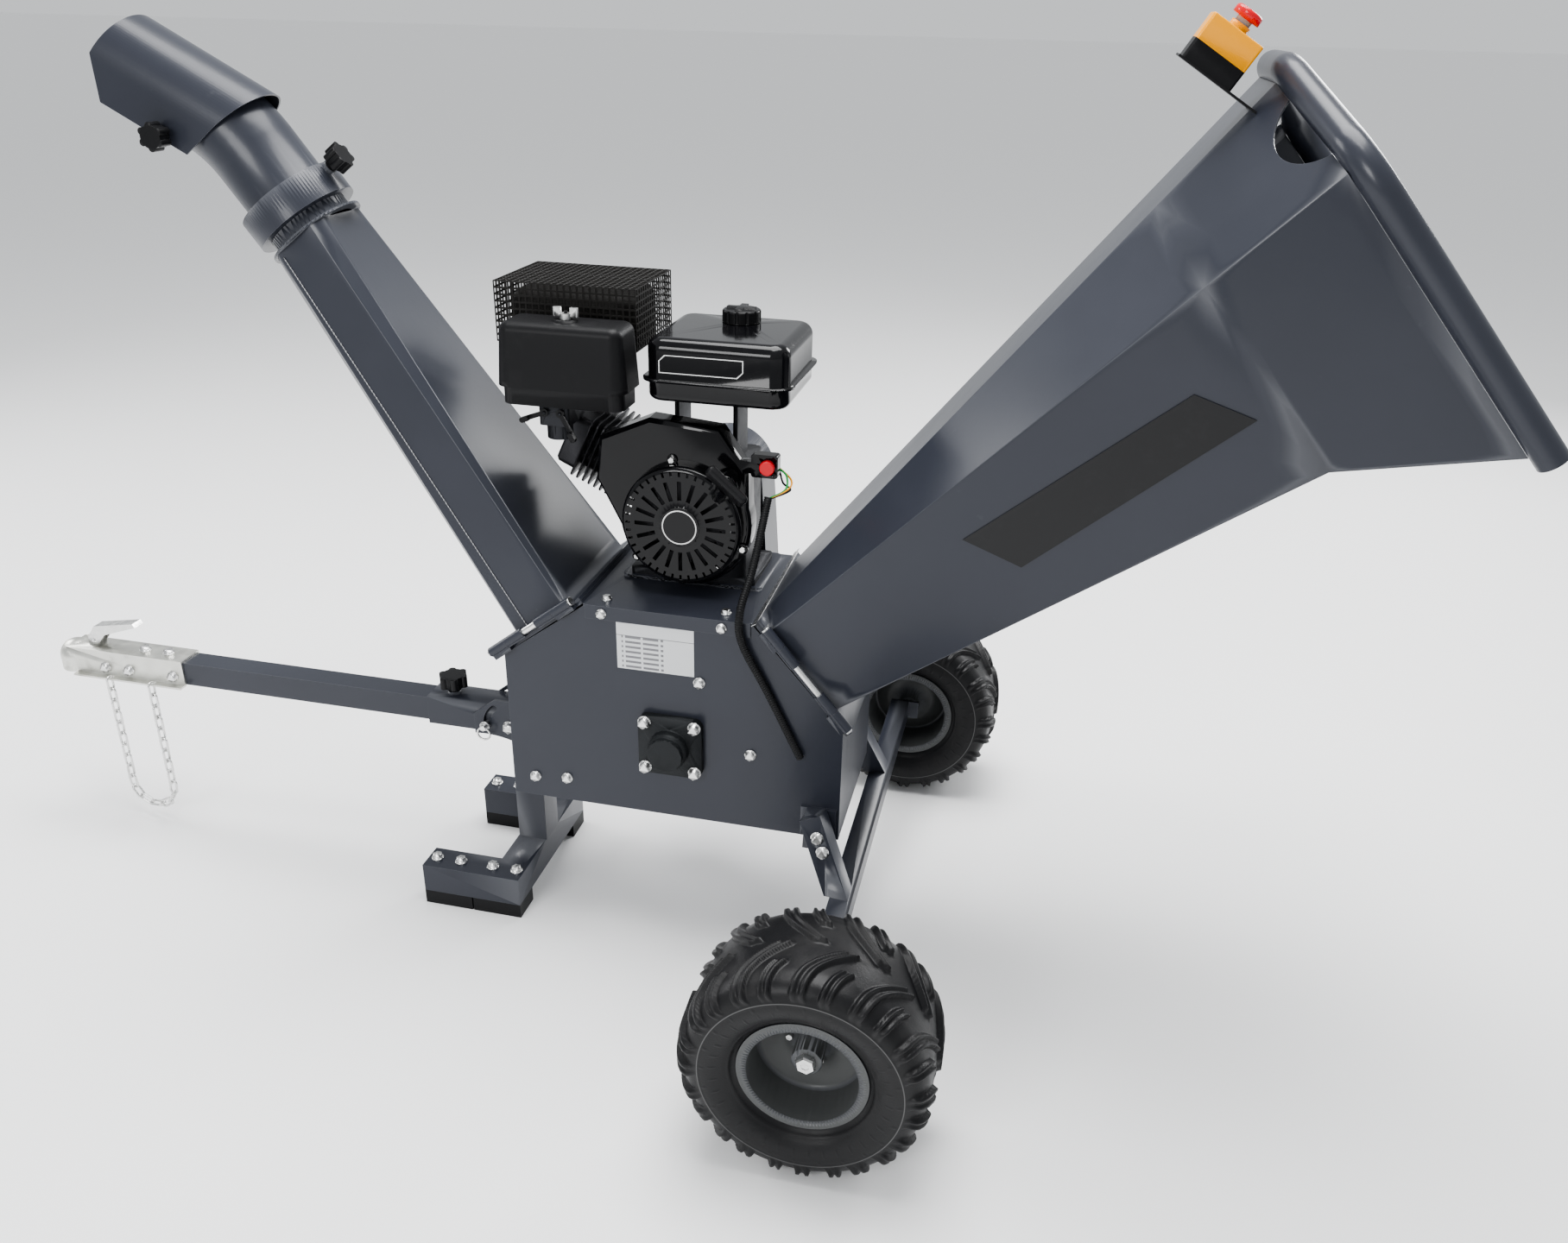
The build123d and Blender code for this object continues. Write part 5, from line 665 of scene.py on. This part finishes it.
band = [slope_point(down, hopper_side_y(out), out)
        for down, out in ((0.0632, 0.3928), (0.1477, 0.4419), (0.1294, 0.8375), (0.0537, 0.7901))]
plate_on("hopper_band", band, 0.0006, decal_black, "hopper")

PLATE_PALE, PLATE_INK = (0.62, 0.63, 0.64), (0.06, 0.06, 0.07)
LINES_PER_M, WORDS_PER_M = 105.0, 31.0
printed = Finish("printed_plate", PLATE_PALE, 0.35, coat=0.3)
row = printed.along((0, 0, 1), 0.0)
column = printed.along((1, 0, 0), 0.0)
bars = (row * LINES_PER_M).math("FRACT").above(0.55)
short = (column * WORDS_PER_M).math("FRACT").above(0.12)
left_part = (ROTOR_X - 0.012 - column).above(0.0) * column.above(ROTOR_X - 0.088)
head = (row - 0.648).above(0.0)
inked = bars * short * left_part * (1 - head)
rule = (row - 0.6475).above(0.0) * (0.6487 - row).above(0.0)
printed.set("Base Color", printed.mix(inked * 0.8 + rule * 0.8, PLATE_PALE, PLATE_INK))
printed.set("Roughness", 0.32 + printed.noise(40.0, 4.0) * 0.12)
NEAR_FACE, PLATE_LOW, PLATE_HIGH = -0.154, 0.583, 0.672
PLATE_LEFT, PLATE_RIGHT = ROTOR_X - 0.097, ROTOR_X + 0.043
plate_on("rating_plate", [(PLATE_LEFT, NEAR_FACE, PLATE_LOW), (PLATE_RIGHT, NEAR_FACE, PLATE_LOW),
                          (PLATE_RIGHT, NEAR_FACE, PLATE_HIGH), (PLATE_LEFT, NEAR_FACE, PLATE_HIGH)],
         0.0008, printed, "root")

# %% [markdown]
# Small round things tell the eye how a machine is held together: bolt heads on the starter's
# lugs, a nut on each axle end, three bolts in each wheel. One helper makes them all: a prism
# with a chamfered top, its rings carried along an axis, closed to a point at the crown.
# %% Bolt heads and nuts
def bolt_head(name, centre, axis, radius, height, finish, body, sides=6):
    """Rings at (share of radius, share of height): straight sides, then a chamfer, then the crown."""
    axis = np.array(axis, float) / np.linalg.norm(axis)
    side = np.cross(axis, (0.3, 0.2, 0.9))
    side /= np.linalg.norm(side)
    other = np.cross(axis, side)
    rings = np.array([(0.0, 0.0), (1.0, 0.0), (1.0, 0.72), (0.86, 1.0),
                      (0.42, 1.0), (0.40, 0.92), (0.0, 0.92)])
    turn = np.linspace(0, 2 * np.pi, sides, endpoint=False)
    ring = side * np.cos(turn)[:, None] + other * np.sin(turn)[:, None]
    points = (np.array(centre, float) + rings[:, :1, None] * radius * ring[None]
              + rings[:, 1:, None] * height * axis)
    return grid_piece(name, points, finish, body, close_v=True, smooth=False)


CRANK = (ROTOR_X, 0.833)                 # x and z of the crankshaft
LUG_CIRCLE_R, LUG_FACE_Y = 0.112, -0.0661
for number, degrees in enumerate((100, 220, 340)):
    spot = (CRANK[0] + LUG_CIRCLE_R * math.cos(math.radians(degrees)), LUG_FACE_Y,
            CRANK[1] + LUG_CIRCLE_R * math.sin(math.radians(degrees)))
    bolt_head(f"starter_bolt_{number}", spot, (0, -1, 0), 0.0058, 0.0045, zinc, "root")
HUB_END_Y, DISH_FACE_Y, WHEEL_BOLT_R = 0.6025, 0.5571, 0.036
for side, word in ((-1, "near"), (1, "far")):
    bolt_head("axle_nut_" + word, (AXLE.x, side * HUB_END_Y, AXLE.z), (0, side, 0), 0.0165, 0.011,
              zinc, "root")
    for number in range(3):
        around = math.radians(120 * number + 35)
        spot = (AXLE.x + WHEEL_BOLT_R * math.sin(around), side * DISH_FACE_Y,
                AXLE.z + WHEEL_BOLT_R * math.cos(around))
        bolt_head(f"wheel_bolt_{word}_{number}", spot, (0, side, 0), 0.0062, 0.0065, zinc, "wheel_" + word)

# %% [markdown]
# The starter's hub carries a bright ring, and the tank a bright outline, with nothing inside.
# Both are flat rings of quads that stand a fraction of a millimetre proud.
# %% Badge ring and tank frame
BADGE_Y = -0.0912


def flat_ring(name, outer, inner, out, finish, body):
    """Quads between two closed outlines, and the same outlines raised by out, as one band."""
    rows = np.stack([inner, inner + out, outer + out, outer])
    return grid_piece(name, rows, finish, body, close_u=True, close_v=True, smooth=False)


turn = np.linspace(0, 2 * np.pi, 64, endpoint=False)
circle = np.stack([np.cos(turn), np.zeros(64), np.sin(turn)], -1)
badge_centre = np.array((CRANK[0], BADGE_Y, CRANK[1]))
flat_ring("badge_ring", badge_centre + circle * 0.0308, badge_centre + circle * 0.0288,
          np.array((0, -0.0005, 0)), zinc, "root")
tank_points = np.array([v.co for v in nodes["fuel_tank"].data.vertices])
upper = tank_points[(tank_points[:, 2] > 1.096) & (tank_points[:, 2] < 1.13)]
tank_face = (upper if len(upper) else tank_points)[:, 1].min() - 0.0002
frame_shape = np.array([(-0.034, 1.095), (0.098, 1.095), (0.108, 1.105),
                        (0.108, 1.125), (-0.024, 1.125), (-0.034, 1.115)])
middle = frame_shape.mean(0)
outer = np.insert(frame_shape + (ROTOR_X, 0), 1, tank_face, axis=1)
inner = np.insert((frame_shape - middle) * (0.975, 0.90) + middle + (ROTOR_X, 0), 1, tank_face, axis=1)
flat_ring("tank_frame", outer, inner, np.array((0, -0.0006, 0)), zinc, "root")
print("tank face at", round(float(tank_face), 4), "from", len(upper), "points")

# %% [markdown]
# The hopper and the housing meet on two thick flanges whose upper ends are left bare.
# Each end is a narrow strip that runs across the machine; its place is read off the CAD mesh.
# %% Bare flange ends
def bare_end(name, node, body, low_out, high_out):
    """Strip over the upper end of a flange that lies between two distances out from the slope."""
    points = np.array([v.co for v in nodes[node].data.vertices]) - np.array(SLOPE_TOP)
    out = points @ np.array(SLOPE_OUT)
    band = points[(out > low_out - 0.0005) & (out < high_out + 0.0005) & (points[:, 0] > -0.03)]
    top = (band @ np.array(SLOPE)).min()
    reach = np.abs(band[:, 1]).max() - 0.001
    corners = [slope_point(top, y, o) for y, o in ((-reach, low_out), (-reach, high_out),
                                                   (reach, high_out), (reach, low_out))]
    plate_on(name, corners, 0.0006, zinc, body)
    print(name, "at", round(float(top), 4), "half width", round(float(reach), 3))


bare_end("hopper_flange_end", "hopper_shell", "hopper", 0.0068, 0.0122)
bare_end("housing_flange_end", "housing_shell", "root", 0.0003, 0.0057)

# %% [markdown]
# The chute is two folded halves joined by a weld down each side. A weld is a row of small
# overlapping scallops, so the bead is a tube whose radius ripples along its length.
# %% Weld beads on the chute
CHUTE_FOOT = Vector((ROTOR_X - 0.156, 0, 0.7))
CHUTE_DOWN, CHUTE_OUT = Vector((-0.7932, 0, -0.609)), Vector((-0.609, 0, 0.7932))


def chute_point(down, y, out):
    """Point in the chute's frame: down the slope, across, and out along the duct, in metres."""
    return np.array(CHUTE_FOOT + CHUTE_DOWN * down + CHUTE_OUT * out) + (0, y, 0)


bead_paint = plated("weld_bead", (0.34, 0.34, 0.35), 0.35, 0.5)
for side, word in ((-1, "near"), (1, "far")):
    share = np.linspace(0, 1, 420)[:, None]
    first = chute_point(0.126, side * 0.1452, 0.018)
    last = chute_point(0.096, side * 0.0765, 0.752)
    seam = first + (last - first) * share
    ripple = 0.0011 + 0.0004 * np.sin(share[:, 0] * 2 * np.pi * 105)
    tube_along("chute_weld_" + word, seam, ripple, bead_paint, "chute", sides=8)

# %% [markdown]
# Three thin wires run from the engine's stop switch into the ribbed sleeve, held at both ends.
# %% Switch wires
green_wire = moulded("green_wire", (0.02, 0.28, 0.06), 0.35, 300.0, 0.0001)
amber_wire = moulded("amber_wire", (0.75, 0.32, 0.02), 0.35, 300.0, 0.0001)
SWITCH = np.array((ROTOR_X + 0.146, -0.04, 0.945))
SLEEVE_TOP = np.array((ROTOR_X + 0.156, -0.094, 0.905))
for number, (finish, bow) in enumerate(((green_wire, 0.030), (amber_wire, 0.038), (knob_black, 0.024))):
    way = np.array([SWITCH + (0.012, 0.004 * number, -0.006),
                    SWITCH + (bow, -0.01, -0.016 - 0.006 * number),
                    SLEEVE_TOP + (0.026 + 0.004 * number, 0.01, 0.012),
                    SLEEVE_TOP + (0.001 * number, 0.003, -0.004)])
    tube_along(f"switch_wire_{number}", through(way, 24), 0.0018, finish, "root", sides=8)
